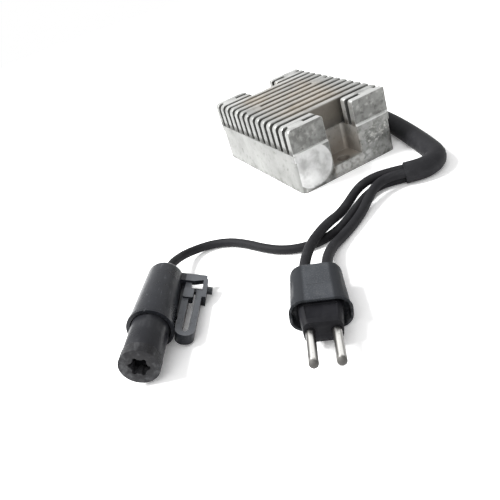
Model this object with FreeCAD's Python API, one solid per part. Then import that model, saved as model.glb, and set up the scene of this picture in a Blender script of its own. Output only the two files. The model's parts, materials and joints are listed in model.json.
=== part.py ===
"""Voltage regulator rectifier for a small permanent-magnet alternator.

A finned casting holds potted electronics and stands on its mounting face. A sleeve
leaves its side and gives out two stator cables, which end in a two-pin plug, and one
output wire, which ends in a one-way latching connector. All sizes are in millimetres.

Frame: X runs along the fins, Y across them, Z up from the mounting face. The origin
is the middle of the mounting face.
"""

import FreeCAD, Part
import math
import os

# Casting: the fins stand on a slab that is wider than they are by a ledge
FIN_COUNT = 14
FIN_PITCH = 6.72
FIN_THICKNESS = 3.7
FIN_LENGTH = 61.0
FIN_END_RADIUS = 2.8
FIN_EXIT_END_RADIUS = 0.7
FIN_TIP_RADIUS = 0.5
HOUSING_HEIGHT = 36.0
SLAB_HEIGHT = 23.0
SLOT_FLOOR = 22.0
SLOT_FLARE = 0.27
LEDGE = 0.97
LEDGE_BEVEL = 0.7
LEDGE_BEVEL_DROP = 1.0
DRAFT = 0.006
CORNER_RADIUS = 3.2

# Cast lands, left by ejector pins across three of the slots
LAND_RADIUS = 4.4
LAND_INSET = 8.0
LAND_SLOTS = (0, 7, 12)

# Mounting notches, two fins deep, with a bolt hole in the floor of each
NOTCH_WIDTH = 18.5
NOTCH_FINS = 2
NOTCH_FLOOR = 6.7
NOTCH_MOUTH_RADIUS = 1.4
NOTCH_CORNER_RADIUS = 2.4
BOLT_HOLE_RADIUS = 3.6
BOLT_EDGE_DISTANCE = 5.0
BOLT_CHAMFER = 0.4

# Potting recess in the underside
RECESS_END_WALL = 4.5
RECESS_WALL_TO_NOTCH = 3.75
RECESS_CORNER_RADIUS = 3.0
ROOF_THICKNESS = 5.0
POTTING_SINK = 0.3

# Circuit board on two cast posts
BOARD_END_GAP = 2.0
BOARD_LEAD_SPACE = 6.0
BOARD_WIDTH = 51.0
BOARD_THICKNESS = 1.6
BOARD_BOTTOM = 1.9
POST_RADIUS = 3.0
POST_Y = 22.0
BOARD_SCREW_RADIUS = 1.25
BOARD_SCREW_LENGTH = 8.0
BOARD_SCREW_HEAD_RADIUS = 2.6
BOARD_SCREW_HEAD_HEIGHT = 1.3

# Power devices, screwed to the roof of the recess through an insulating film
FILM_THICKNESS = 0.3
FILM_END_MARGIN = 1.0
FILM_SIDE_MARGIN = 0.8
DEVICE_WIDTH = 10.2
DEVICE_TAB_LENGTH = 15.6
DEVICE_TAB_THICKNESS = 1.3
DEVICE_BODY_LENGTH = 9.0
DEVICE_BODY_THICKNESS = 3.1
DEVICE_HOLE_TO_END = 2.9
DEVICE_END_GAP = 2.2
DEVICE_Y = 12.6
LEG_PITCH = 2.54
LEG_WIDTH = 0.8
LEG_THICKNESS = 0.6
LEG_REACH = 2.4
DEVICE_SCREW_RADIUS = 1.5
DEVICE_SCREW_GRIP = 3.4
DEVICE_SCREW_HEAD_RADIUS = 2.5
DEVICE_SCREW_HEAD_HEIGHT = 1.9

# Small parts on the board, in a column at a distance from the recess's closed end
PARTS_TO_WALL = 12.0
CAPACITOR_RADIUS = 3.1
CAPACITOR_HEIGHT = 7.0
CAPACITOR_Y = 12.6
TRANSISTOR_RADIUS = 2.3
TRANSISTOR_HEIGHT = 4.6
TRANSISTOR_LEG = 1.6
TRANSISTOR_Y = -12.6
RESISTOR_RADIUS = 1.2
RESISTOR_LENGTH = 6.4
RESISTOR_ROWS = (-8.8, -4.4, 0.0)
ZENER_RADIUS = 1.35
ZENER_LENGTH = 4.2
ZENER_ROW = 4.4
PIGTAIL_RADIUS = 0.35
PIGTAIL_REACH = 1.6
PIGTAIL_STANDOFF = 0.4

# Cable exit in the wall at the fins' far end
EXIT_Y = 2.0
EXIT_Z = 6.4
GROMMET_RADIUS = 6.5
GROMMET_FLANGE = 1.5
GROMMET_BOOT_LENGTH = 2.5
GROMMET_BOOT_RADIUS = 6.2
GROMMET_BOOT_END_RADIUS = 5.8
SLEEVE_GRIP = 1.5

# Cords
SLEEVE_RADIUS = 5.3
CABLE_RADIUS = 2.3
WIRE_RADIUS = 2.1
CABLE_SPREAD = 2.45
CABLE_RISE = 1.1
WIRE_DROP = 2.95
ARC_SHARE = 0.45
SLEEVE_ROUTE = (
    (36.5, 2.0, 6.4), (43.2, -2.4, 6.3), (46.2, -9.8, 6.1), (45.0, -23.5, 5.8),
    (41.4, -41.0, 5.5), (37.1, -57.2, 5.4), (33.2, -70.3, 5.4), (29.2, -82.0, 5.4),
    (22.6, -86.6, 5.4), (14.6, -86.9, 5.4), (7.7, -82.9, 5.4),
)
CABLE_A_ROUTE = (
    (-5.8, -73.5, 6.0), (-14.6, -74.0, 4.9), (-24.4, -79.0, 3.0), (-33.6, -84.9, 3.3),
    (-42.4, -90.6, 5.9), (-51.0, -96.2, 7.3), (-60.4, -102.2, 7.3),
)
CABLE_B_ROUTE = (
    (-4.0, -81.1, 6.5), (-10.2, -82.2, 5.9), (-16.4, -85.7, 4.6), (-24.4, -91.0, 2.9),
    (-33.4, -96.3, 2.4), (-43.6, -101.4, 2.5), (-53.6, -107.0, 3.9),
)
WIRE_ROUTE = (
    (-5.2, -77.6, 2.3), (-13.1, -78.9, 2.2), (-22.3, -84.0, 2.2), (-31.8, -90.0, 2.2),
    (-41.5, -94.6, 2.2), (-51.3, -96.2, 2.2), (-60.6, -93.4, 2.2), (-67.9, -86.9, 2.2),
    (-72.6, -77.6, 2.2), (-76.2, -67.4, 2.2), (-81.2, -58.2, 2.2), (-89.2, -52.0, 2.3),
    (-98.8, -51.6, 3.6), (-106.7, -56.6, 6.4),
)
CABLE_A_FIRST_RUN = 7.5
CABLE_B_FIRST_RUN = 5.6
WIRE_FIRST_RUN = 6.5
PLUG_LAST_RUN = 13.0
CONNECTOR_LAST_RUN = 10.8

# Leads inside the casting and the tabs that they are soldered to
LEAD_STRIP_REACH = 6.0
CONDUCTOR_RADIUS = 1.0
STATOR_CONDUCTOR_REACH = 12.0
OUTPUT_CONDUCTOR_REACH = 19.0
TAB_LENGTH = 4.0
TAB_WIDTH = 3.2

# Two-pin plug, placed by the middle of its rear face
PLUG_PLACE = (-71.5, -124.5)
PLUG_HEADING = 241.8
PLUG_ROLL = 7.0
PLUG_LENGTH = 25.0
PLUG_REAR_WIDTH = 20.4
PLUG_REAR_HEIGHT = 12.8
PLUG_FRONT_WIDTH = 22.0
PLUG_FRONT_HEIGHT = 13.6
PLUG_LIP_LENGTH = 2.6
PLUG_LIP_FLARE = 0.8
PLUG_SHOULDER = 5.2
PLUG_SKIRT_DEPTH = 4.5
PLUG_SKIRT_WALL = 1.3
PLUG_REAR_FILLET = 1.4
INSERT_SHANK_LENGTH = 8.5
INSERT_SHANK_WIDTH = 15.4
INSERT_SHANK_HEIGHT = 8.6
INSERT_NOSE_REACH = 9.6
INSERT_NOSE_WIDTH = 17.2
INSERT_NOSE_HEIGHT = 10.6
INSERT_TIP_WIDTH = 14.0
INSERT_TIP_HEIGHT = 8.8
INSERT_ROUNDING = 3.2
INSERT_POCKET_DEPTH = 0.9
INSERT_POCKET_WIDTH = 12.0
INSERT_LIP = 2.2
PIN_RADIUS = 1.75
PIN_SHANK_RADIUS = 1.5
PIN_SPACING = 9.3
PIN_REACH = 17.3
PIN_BARREL_RADIUS = 2.15
PIN_BARREL_LENGTH = 6.0
PIN_BARREL_START = 6.0

# One-way connector, placed by the middle of its rear face
CONNECTOR_PLACE = (-117.7, -71.4)
CONNECTOR_HEADING = 239.5
CONNECTOR_ROLL = 22.0
SHELL_LENGTH = 38.5
SHELL_MOUTH_RADIUS = 5.2
SHELL_REAR_RADIUS = 7.9
SHELL_RIM_RADIUS = 9.3
SHELL_DOME = 3.4
RIM_BAND_HEIGHT = 0.35
RIM_BAND_LENGTH = 1.6
RIM_WALL = 1.1
RIM_DEPTH = 9.0
NOSE_RADIUS = 7.75
NOSE_START = 22.0
NOSE_REACH = 16.6
NOSE_BORE = 5.0
NOSE_WEB_LENGTH = 17.0
SEAL_LENGTH = 4.6
SEAL_RADIUS = 7.95
SEAL_HOLE_RADIUS = 3.3
SEAL_LOBE_RADIUS = 0.95
SEAL_LOBES = 6
WIRE_SEAL_LENGTH = 4.0
WIRE_SEAL_RADIUS = 4.0
TERMINAL_START = 4.0
TERMINAL_RADIUS = 2.9
TERMINAL_REACH = 10.0
TERMINAL_BORE = 2.0
TERMINAL_BORE_DEPTH = 14.0
ARM_HEIGHT = 4.8
ARM_GAP_TO_AXIS = 9.7
INNER_ARM_WIDTH = 2.6
ARM_SPACE = 2.6
OUTER_ARM_WIDTH = 2.6
ARM_REAR = 6.0
OUTER_ARM_REAR = 12.0
ARM_BEND_X = 38.6
ARM_WEB_THICKNESS = 1.8
PAD_START = 12.5
PAD_LENGTH = 6.5
PAD_RISE = 0.9
PAD_OVERHANG = 1.7
WING_START = 2.4
WING_LENGTH = 5.2
WING_RISE = 1.4
WING_THICKNESS = 2.2
WING_REACH = 18.6
WING_CHAMFER = 3.4
HOOK_START = 7.0
HOOK_LENGTH = 9.5
HOOK_WIDTH = 1.8
HOOK_RISE = 2.6
KNOB_RADIUS = 1.7
KNOB_REACH = 2.2

# Worked out from the sizes above
FIN_SPAN = (FIN_COUNT - 1) * FIN_PITCH + FIN_THICKNESS
HOUSING_WIDTH = FIN_SPAN + 2 * LEDGE
SLOT_HALF_WIDTH = (FIN_PITCH - FIN_THICKNESS) / 2
HALF_LENGTH = FIN_LENGTH / 2
HALF_WIDTH = HOUSING_WIDTH / 2
BOLT_Y = HALF_WIDTH - BOLT_EDGE_DISTANCE
RECESS_TOP = SLOT_FLOOR - ROOF_THICKNESS
BOARD_TOP = BOARD_BOTTOM + BOARD_THICKNESS
FILM_BOTTOM = RECESS_TOP - FILM_THICKNESS
DEVICE_TAB_BOTTOM = FILM_BOTTOM - DEVICE_TAB_THICKNESS
DEVICE_BODY_BOTTOM = DEVICE_TAB_BOTTOM - DEVICE_BODY_THICKNESS
RECESS_END_X = HALF_LENGTH - RECESS_END_WALL
LAND_X = HALF_LENGTH - LAND_INSET
BOARD_START_X = BOARD_END_GAP - RECESS_END_X
BOARD_END_X = RECESS_END_X - BOARD_LEAD_SPACE
DEVICE_OUTER_X = RECESS_END_X - DEVICE_END_GAP
PARTS_X = PARTS_TO_WALL - RECESS_END_X
FILM_END_X = DEVICE_OUTER_X + FILM_END_MARGIN
FILM_SIDE_Y = DEVICE_Y + DEVICE_WIDTH / 2 + FILM_SIDE_MARGIN
LEAD_STRIP_X = RECESS_END_X - LEAD_STRIP_REACH
STATOR_CONDUCTOR_END = RECESS_END_X - STATOR_CONDUCTOR_REACH
OUTPUT_CONDUCTOR_END = RECESS_END_X - OUTPUT_CONDUCTOR_REACH
SLEEVE_START_X = HALF_LENGTH - SLEEVE_GRIP
STATOR_LEAD_Z = EXIT_Z - CABLE_RISE
OUTPUT_LEAD_Z = EXIT_Z + WIRE_DROP
PLUG_LIP_HALF_HEIGHT = (PLUG_FRONT_HEIGHT + PLUG_LIP_FLARE) / 2
PLUG_LIP_HALF_WIDTH = PLUG_FRONT_WIDTH / 2 + PLUG_LIP_FLARE
PLUG_AXIS_Z = (
    PLUG_SHOULDER
    + (PLUG_LIP_HALF_HEIGHT - PLUG_SHOULDER) * math.cos(math.radians(PLUG_ROLL))
    + (PLUG_LIP_HALF_WIDTH - PLUG_SHOULDER) * math.sin(math.radians(PLUG_ROLL))
)
PLUG_SKIRT_FLOOR = PLUG_LENGTH - PLUG_SKIRT_DEPTH
INSERT_TIP_X = PLUG_LENGTH + INSERT_NOSE_REACH
CONNECTOR_AXIS_Z = SHELL_RIM_RADIUS + RIM_BAND_HEIGHT
NOSE_END = SHELL_LENGTH + NOSE_REACH
NOSE_WEB_END = NOSE_START + NOSE_WEB_LENGTH
TERMINAL_END = NOSE_WEB_END + TERMINAL_REACH


def vector(x, y, z):
    """Returns a point or direction."""
    return FreeCAD.Vector(x, y, z)


def block(low, high):
    """Returns a box between two opposite corners."""
    size = [high[i] - low[i] for i in range(3)]
    return Part.makeBox(size[0], size[1], size[2], vector(*low))


def rod(start, direction, radius, length):
    """Returns a cylinder that starts at a point and runs along a direction."""
    return Part.makeCylinder(radius, length, vector(*start), vector(*direction))


def prism(corners, sweep):
    """Returns a closed polygon swept along a vector."""
    points = [vector(*corner) for corner in corners]
    return Part.Face(Part.makePolygon(points + points[:1])).extrude(vector(*sweep))


def rounded_outline(width, height, radius, place):
    """Returns a rounded rectangle as a wire, each corner mapped by place(across, up)."""
    half, rise = width / 2, height / 2
    diagonal = radius * math.sqrt(0.5)
    edges = []
    corners = ((1, 1), (-1, 1), (-1, -1), (1, -1))
    ends = []
    for across, up in corners:
        centre = (across * (half - radius), up * (rise - radius))
        side = (centre[0] + across * radius, centre[1])
        top = (centre[0], centre[1] + up * radius)
        middle = (centre[0] + across * diagonal, centre[1] + up * diagonal)
        first, last = (side, top) if across == up else (top, side)
        ends.append((first, last))
        edges.append(Part.Arc(place(*first), place(*middle), place(*last)).toShape())
        if len(ends) > 1:
            edges.append(Part.LineSegment(place(*ends[-2][1]), place(*first)).toShape())
    edges.append(Part.LineSegment(place(*ends[-1][1]), place(*ends[0][0])).toShape())
    return Part.Wire(Part.__sortEdges__(edges))


def rounded_block(width, depth, radius, low, high, centre=(0.0, 0.0)):
    """Returns an upright block with rounded vertical corners."""
    def place(across, up):
        return vector(centre[0] + across, centre[1] + up, low)
    face = Part.Face(rounded_outline(width, depth, radius, place))
    return face.extrude(vector(0, 0, high - low))


def slot_centre(index):
    """Returns the Y of a slot's middle, counted from the front."""
    return (index + 0.5 - (FIN_COUNT - 1) / 2) * FIN_PITCH


def section_across_fins():
    """Returns the casting's form seen along the fins: slab, ledge and drafted fin block."""
    foot = HALF_WIDTH
    slab_top = foot - DRAFT * SLAB_HEIGHT
    fin_foot = slab_top - LEDGE
    fin_top = fin_foot - DRAFT * (HOUSING_HEIGHT - SLAB_HEIGHT)
    right = [
        (foot, 0.0), (slab_top, SLAB_HEIGHT - LEDGE_BEVEL_DROP), (slab_top - LEDGE_BEVEL, SLAB_HEIGHT),
        (fin_foot, SLAB_HEIGHT), (fin_top, HOUSING_HEIGHT),
    ]
    outline = right + [(-y, z) for y, z in reversed(right)]
    return prism([(-HALF_LENGTH, y, z) for y, z in outline], (FIN_LENGTH, 0, 0))


def section_along_fins():
    """Returns the casting's form seen across the fins: well rounded ends, sharper at the exit."""
    left, right = FIN_END_RADIUS, FIN_EXIT_END_RADIUS
    top = HALF_LENGTH - DRAFT * HOUSING_HEIGHT
    bulge = 1 - math.sqrt(0.5)

    def at(x, z):
        return vector(x, -HALF_WIDTH, z)
    left_foot, right_foot = at(-HALF_LENGTH, 0), at(HALF_LENGTH, 0)
    left_side, right_side = at(-top, HOUSING_HEIGHT - left), at(top, HOUSING_HEIGHT - right)
    left_top, right_top = at(left - top, HOUSING_HEIGHT), at(top - right, HOUSING_HEIGHT)
    edges = [
        Part.LineSegment(left_foot, right_foot),
        Part.LineSegment(right_foot, right_side),
        Part.Arc(right_side, at(top - bulge * right, HOUSING_HEIGHT - bulge * right), right_top),
        Part.LineSegment(right_top, left_top),
        Part.Arc(left_top, at(bulge * left - top, HOUSING_HEIGHT - bulge * left), left_side),
        Part.LineSegment(left_side, left_foot),
    ]
    wire = Part.Wire([edge.toShape() for edge in edges])
    return Part.Face(wire).extrude(vector(0, HOUSING_WIDTH, 0))


def slot_cutter(index):
    """Returns the space between two fins: round floor, flared walls and rounded fin tips."""
    middle = slot_centre(index)
    low = SLOT_HALF_WIDTH - SLOT_FLARE / 2
    high = SLOT_HALF_WIDTH + SLOT_FLARE / 2
    tip = FIN_TIP_RADIUS
    start = -HALF_LENGTH - 1
    shoulder = HOUSING_HEIGHT - tip
    diagonal = tip * (1 - math.sqrt(0.5))

    def at(y, z):
        return vector(start, middle + y, z)
    edges = [
        Part.Arc(at(-low, SLOT_FLOOR + low), at(0, SLOT_FLOOR), at(low, SLOT_FLOOR + low)),
        Part.LineSegment(at(low, SLOT_FLOOR + low), at(high, shoulder)),
        Part.Arc(at(high, shoulder), at(high + diagonal, HOUSING_HEIGHT - diagonal),
                 at(high + tip, HOUSING_HEIGHT)),
        Part.LineSegment(at(high + tip, HOUSING_HEIGHT), at(high + tip, HOUSING_HEIGHT + 1)),
        Part.LineSegment(at(high + tip, HOUSING_HEIGHT + 1), at(-high - tip, HOUSING_HEIGHT + 1)),
        Part.LineSegment(at(-high - tip, HOUSING_HEIGHT + 1), at(-high - tip, HOUSING_HEIGHT)),
        Part.Arc(at(-high - tip, HOUSING_HEIGHT), at(-high - diagonal, HOUSING_HEIGHT - diagonal),
                 at(-high, shoulder)),
        Part.LineSegment(at(-high, shoulder), at(-low, SLOT_FLOOR + low)),
    ]
    wire = Part.Wire([edge.toShape() for edge in edges])
    cutter = Part.Face(wire).extrude(vector(FIN_LENGTH + 2, 0, 0))
    if index in LAND_SLOTS:
        for side in (-1, 1):
            foot = (side * LAND_X, middle, SLOT_FLOOR - 1)
            cutter = cutter.cut(rod(foot, (0, 0, 1), LAND_RADIUS, HOUSING_HEIGHT + 3))
    return cutter


def notch_cutter(side):
    """Returns the space of the front (-1) or rear (1) mounting notch."""
    wall = slot_centre(NOTCH_FINS - 1) + SLOT_HALF_WIDTH - SLOT_FLARE / 2
    half = NOTCH_WIDTH / 2
    radius = NOTCH_MOUTH_RADIUS
    diagonal = radius * (1 - math.sqrt(0.5))
    shoulder = HOUSING_HEIGHT - radius
    front = -HALF_WIDTH - 1

    def at(x, z):
        return vector(x, front, z)
    edges = [
        Part.LineSegment(at(-half, NOTCH_FLOOR), at(half, NOTCH_FLOOR)),
        Part.LineSegment(at(half, NOTCH_FLOOR), at(half, shoulder)),
        Part.Arc(at(half, shoulder), at(half + diagonal, HOUSING_HEIGHT - diagonal),
                 at(half + radius, HOUSING_HEIGHT)),
        Part.LineSegment(at(half + radius, HOUSING_HEIGHT), at(half + radius, HOUSING_HEIGHT + 1)),
        Part.LineSegment(at(half + radius, HOUSING_HEIGHT + 1), at(-half - radius, HOUSING_HEIGHT + 1)),
        Part.LineSegment(at(-half - radius, HOUSING_HEIGHT + 1), at(-half - radius, HOUSING_HEIGHT)),
        Part.Arc(at(-half - radius, HOUSING_HEIGHT), at(-half - diagonal, HOUSING_HEIGHT - diagonal),
                 at(-half, shoulder)),
        Part.LineSegment(at(-half, shoulder), at(-half, NOTCH_FLOOR)),
    ]
    wire = Part.Wire([edge.toShape() for edge in edges])
    cutter = Part.Face(wire).extrude(vector(0, wall - front, 0))
    corner = NOTCH_CORNER_RADIUS
    for across in (-1, 1):
        edge_x = across * half
        low = (min(edge_x, edge_x - across * corner), wall - corner, NOTCH_FLOOR)
        high = (max(edge_x, edge_x - across * corner), wall, SLOT_FLOOR)
        centre = (edge_x - across * corner, wall - corner, NOTCH_FLOOR)
        fill = block(low, high).cut(rod(centre, (0, 0, 1), corner, SLOT_FLOOR - NOTCH_FLOOR))
        cutter = cutter.cut(fill)
    if side > 0:
        cutter = cutter.mirror(vector(0, 0, 0), vector(0, 1, 0))
    return cutter


def bolt_hole(side):
    """Returns the bolt hole through a notch's floor, chamfered at its top."""
    place = (0, side * BOLT_Y, -1)
    hole = rod(place, (0, 0, 1), BOLT_HOLE_RADIUS, NOTCH_FLOOR + 2)
    chamfer = Part.makeCone(BOLT_HOLE_RADIUS, BOLT_HOLE_RADIUS + BOLT_CHAMFER, BOLT_CHAMFER,
                            vector(0, side * BOLT_Y, NOTCH_FLOOR - BOLT_CHAMFER))
    return hole.fuse(chamfer)


def recess_width():
    """Returns the recess's size across the fins, clear of both notches by a wall."""
    wall = slot_centre(NOTCH_FINS - 1) + SLOT_HALF_WIDTH - SLOT_FLARE / 2
    return 2 * (abs(wall) - RECESS_WALL_TO_NOTCH)


def recess(low):
    """Returns the potting recess from a height up to its roof, around the two posts."""
    space = rounded_block(2 * RECESS_END_X, recess_width(), RECESS_CORNER_RADIUS, low, RECESS_TOP)
    for side in (-1, 1):
        foot = (0, side * POST_Y, BOARD_TOP)
        space = space.cut(rod(foot, (0, 0, 1), POST_RADIUS, RECESS_TOP - BOARD_TOP))
    return space


def grommet_form(start, end, radius):
    """Returns the U-shaped form that fills the cable exit between two X positions."""
    arch = rod((start, EXIT_Y, EXIT_Z), (1, 0, 0), radius, end - start)
    foot = block((start, EXIT_Y - radius, 0), (end, EXIT_Y + radius, EXIT_Z))
    return arch.fuse(foot).removeSplitter().common(
        block((start, EXIT_Y - radius, 0), (end, EXIT_Y + radius, EXIT_Z + radius)))


def device_places():
    """Lists the power devices as (side in X, side in Y)."""
    return [(-1, -1), (1, -1), (-1, 1), (1, 1)]


def device_screw_place(sides):
    """Returns the X and Y of a power device's screw."""
    return sides[0] * (DEVICE_OUTER_X - DEVICE_HOLE_TO_END), sides[1] * DEVICE_Y


def heatsink_housing():
    """Returns the one casting: slab, fins, lands, notches and the recess with its posts."""
    casting = section_across_fins().common(section_along_fins())
    casting = casting.common(rounded_block(FIN_LENGTH, HOUSING_WIDTH, CORNER_RADIUS, 0, HOUSING_HEIGHT))
    slots = [slot_cutter(index) for index in range(FIN_COUNT - 1)]
    casting = casting.cut(Part.makeCompound(slots))
    for side in (-1, 1):
        casting = casting.cut(notch_cutter(side)).cut(bolt_hole(side))
    casting = casting.cut(recess(-1))
    casting = casting.cut(grommet_form(RECESS_END_X - 0.5, HALF_LENGTH + 1, GROMMET_RADIUS))
    for side in (-1, 1):
        hole = (0, side * POST_Y, BOARD_TOP)
        depth = BOARD_SCREW_LENGTH - BOARD_THICKNESS
        casting = casting.cut(rod(hole, (0, 0, 1), BOARD_SCREW_RADIUS, depth))
    for sides in device_places():
        x, y = device_screw_place(sides)
        casting = casting.cut(rod((x, y, RECESS_TOP), (0, 0, 1), DEVICE_SCREW_RADIUS, DEVICE_SCREW_GRIP))
    return casting


def circuit_board():
    """Returns the board, with a hole for each of its two screws."""
    half_width = BOARD_WIDTH / 2
    board = block((BOARD_START_X, -half_width, BOARD_BOTTOM), (BOARD_END_X, half_width, BOARD_TOP))
    for side in (-1, 1):
        board = board.cut(rod((0, side * POST_Y, BOARD_BOTTOM), (0, 0, 1), BOARD_SCREW_RADIUS,
                              BOARD_THICKNESS))
    return board


def board_screws():
    """Returns the two screws that hold the board to its posts."""
    screws = []
    for side in (-1, 1):
        shank = rod((0, side * POST_Y, BOARD_BOTTOM), (0, 0, 1), BOARD_SCREW_RADIUS, BOARD_SCREW_LENGTH)
        head = rod((0, side * POST_Y, BOARD_BOTTOM), (0, 0, -1), BOARD_SCREW_HEAD_RADIUS,
                   BOARD_SCREW_HEAD_HEIGHT)
        screws.append(shank.fuse(head).removeSplitter())
    return Part.makeCompound(screws)


def insulating_film():
    """Returns the film between the power devices and the roof of the recess."""
    film = block((-FILM_END_X, -FILM_SIDE_Y, FILM_BOTTOM), (FILM_END_X, FILM_SIDE_Y, RECESS_TOP))
    for sides in device_places():
        x, y = device_screw_place(sides)
        film = film.cut(rod((x, y, FILM_BOTTOM), (0, 0, 1), DEVICE_SCREW_RADIUS, FILM_THICKNESS))
    return film


def power_device(sides):
    """Returns a tabbed power device with three legs bent down to the board."""
    end = DEVICE_OUTER_X
    inner = end - DEVICE_TAB_LENGTH
    half = DEVICE_WIDTH / 2
    tab = block((inner, -half, DEVICE_TAB_BOTTOM), (end, half, FILM_BOTTOM))
    tab = tab.cut(rod((end - DEVICE_HOLE_TO_END, 0, DEVICE_TAB_BOTTOM), (0, 0, 1),
                      DEVICE_SCREW_RADIUS, DEVICE_TAB_THICKNESS))
    body = block((inner, -half, DEVICE_BODY_BOTTOM), (inner + DEVICE_BODY_LENGTH, half, DEVICE_TAB_BOTTOM))
    device = tab.fuse(body)
    leg_top = DEVICE_BODY_BOTTOM + DEVICE_BODY_THICKNESS / 2
    for step in (-1, 0, 1):
        y = step * LEG_PITCH
        reach = block((inner - LEG_REACH, y - LEG_WIDTH / 2, leg_top - LEG_THICKNESS),
                      (inner, y + LEG_WIDTH / 2, leg_top))
        drop = block((inner - LEG_REACH, y - LEG_WIDTH / 2, BOARD_TOP),
                     (inner - LEG_REACH + LEG_THICKNESS, y + LEG_WIDTH / 2, leg_top))
        device = device.fuse(reach).fuse(drop)
    device = device.removeSplitter()
    if sides[0] < 0:
        device = device.mirror(vector(0, 0, 0), vector(1, 0, 0))
    device.translate(vector(0, sides[1] * DEVICE_Y, 0))
    return device


def device_screws():
    """Returns the four screws that clamp the power devices to the casting."""
    screws = []
    for sides in device_places():
        x, y = device_screw_place(sides)
        grip = DEVICE_TAB_THICKNESS + FILM_THICKNESS + DEVICE_SCREW_GRIP
        shank = rod((x, y, DEVICE_TAB_BOTTOM), (0, 0, 1), DEVICE_SCREW_RADIUS, grip)
        head = rod((x, y, DEVICE_TAB_BOTTOM), (0, 0, -1), DEVICE_SCREW_HEAD_RADIUS, DEVICE_SCREW_HEAD_HEIGHT)
        screws.append(shank.fuse(head).removeSplitter())
    return Part.makeCompound(screws)


def axial_part(y, radius, length):
    """Returns a small wire-ended part that lies along X on the board."""
    x = PARTS_X
    height = BOARD_TOP + PIGTAIL_STANDOFF + radius
    body = rod((x - length / 2, y, height), (1, 0, 0), radius, length)
    reach = length / 2 + PIGTAIL_REACH
    left, right = x - reach, x + reach
    route = [(left, y, BOARD_TOP), (left, y, height), (right, y, height), (right, y, BOARD_TOP)]
    path, _ = arc_and_runs([vector(*point) for point in route])
    ring = Part.Wire(Part.makeCircle(PIGTAIL_RADIUS, vector(left, y, BOARD_TOP), vector(0, 0, 1)))
    return body.fuse(path.makePipeShell([ring], True, False, 1)).removeSplitter()


def filter_capacitor():
    """Returns the can that stands on the board."""
    return rod((PARTS_X, CAPACITOR_Y, BOARD_TOP), (0, 0, 1), CAPACITOR_RADIUS, CAPACITOR_HEIGHT)


def control_transistor():
    """Returns the small half-round transistor on its three legs."""
    x, y = PARTS_X, TRANSISTOR_Y
    foot = BOARD_TOP + TRANSISTOR_LEG
    body = rod((x, y, foot), (0, 0, 1), TRANSISTOR_RADIUS, TRANSISTOR_HEIGHT)
    flat = block((x - TRANSISTOR_RADIUS, y - TRANSISTOR_RADIUS, foot),
                 (x - TRANSISTOR_RADIUS / 2, y + TRANSISTOR_RADIUS, foot + TRANSISTOR_HEIGHT))
    body = body.cut(flat)
    for step in (-1, 0, 1):
        leg = rod((x, y + step * LEG_PITCH / 2, BOARD_TOP), (0, 0, 1), PIGTAIL_RADIUS, TRANSISTOR_LEG)
        body = body.fuse(leg)
    return body.removeSplitter()


def lead_end(y, z, radius, conductor_end):
    """Returns a lead inside the casting: insulated through the grommet, then stripped."""
    jacket = rod((LEAD_STRIP_X, y, z), (1, 0, 0), radius, SLEEVE_START_X - LEAD_STRIP_X)
    core = rod((conductor_end, y, z), (1, 0, 0), CONDUCTOR_RADIUS, LEAD_STRIP_X - conductor_end)
    return jacket.fuse(core).removeSplitter()


def solder_tab(y, z, conductor_end):
    """Returns the grooved tab that carries a lead's conductor on the board."""
    tab = block((conductor_end, y - TAB_WIDTH / 2, BOARD_TOP),
                (conductor_end + TAB_LENGTH, y + TAB_WIDTH / 2, z - CONDUCTOR_RADIUS / 3))
    return tab.cut(rod((conductor_end, y, z), (1, 0, 0), CONDUCTOR_RADIUS, TAB_LENGTH))


def lead_ends():
    """Returns the three leads inside the casting by node name."""
    return {
        "stator_lead_end_a": lead_end(EXIT_Y + CABLE_SPREAD, STATOR_LEAD_Z, CABLE_RADIUS, STATOR_CONDUCTOR_END),
        "stator_lead_end_b": lead_end(EXIT_Y - CABLE_SPREAD, STATOR_LEAD_Z, CABLE_RADIUS, STATOR_CONDUCTOR_END),
        "output_lead_end": lead_end(EXIT_Y, OUTPUT_LEAD_Z, WIRE_RADIUS, OUTPUT_CONDUCTOR_END),
    }


def solder_tabs():
    """Returns the three tabs by node name."""
    return {
        "stator_tab_a": solder_tab(EXIT_Y + CABLE_SPREAD, STATOR_LEAD_Z, STATOR_CONDUCTOR_END),
        "stator_tab_b": solder_tab(EXIT_Y - CABLE_SPREAD, STATOR_LEAD_Z, STATOR_CONDUCTOR_END),
        "output_tab": solder_tab(EXIT_Y, OUTPUT_LEAD_Z, OUTPUT_CONDUCTOR_END),
    }


def cable_grommet(leads):
    """Returns the rubber grommet: inner flange, web in the wall, and a tapered boot."""
    inner = grommet_form(RECESS_END_X - GROMMET_FLANGE, RECESS_END_X, GROMMET_RADIUS + GROMMET_FLANGE)
    web = grommet_form(RECESS_END_X, HALF_LENGTH, GROMMET_RADIUS)
    boot = Part.makeCone(GROMMET_BOOT_RADIUS, GROMMET_BOOT_END_RADIUS, GROMMET_BOOT_LENGTH,
                         vector(HALF_LENGTH, EXIT_Y, EXIT_Z), vector(1, 0, 0))
    grommet = inner.fuse(web).fuse(boot)
    low = block((RECESS_END_X - GROMMET_FLANGE - 1, -HALF_WIDTH, -1), (HALF_LENGTH, HALF_WIDTH, POTTING_SINK))
    grommet = grommet.cut(low)
    grip = rod((SLEEVE_START_X, EXIT_Y, EXIT_Z), (1, 0, 0), SLEEVE_RADIUS, SLEEVE_GRIP + GROMMET_BOOT_LENGTH)
    return grommet.cut(grip).cut(Part.makeCompound(leads)).removeSplitter()


def potting_compound(sealed):
    """Returns the resin that fills the recess around everything sealed in it."""
    return recess(POTTING_SINK).cut(Part.makeCompound(sealed))


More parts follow.
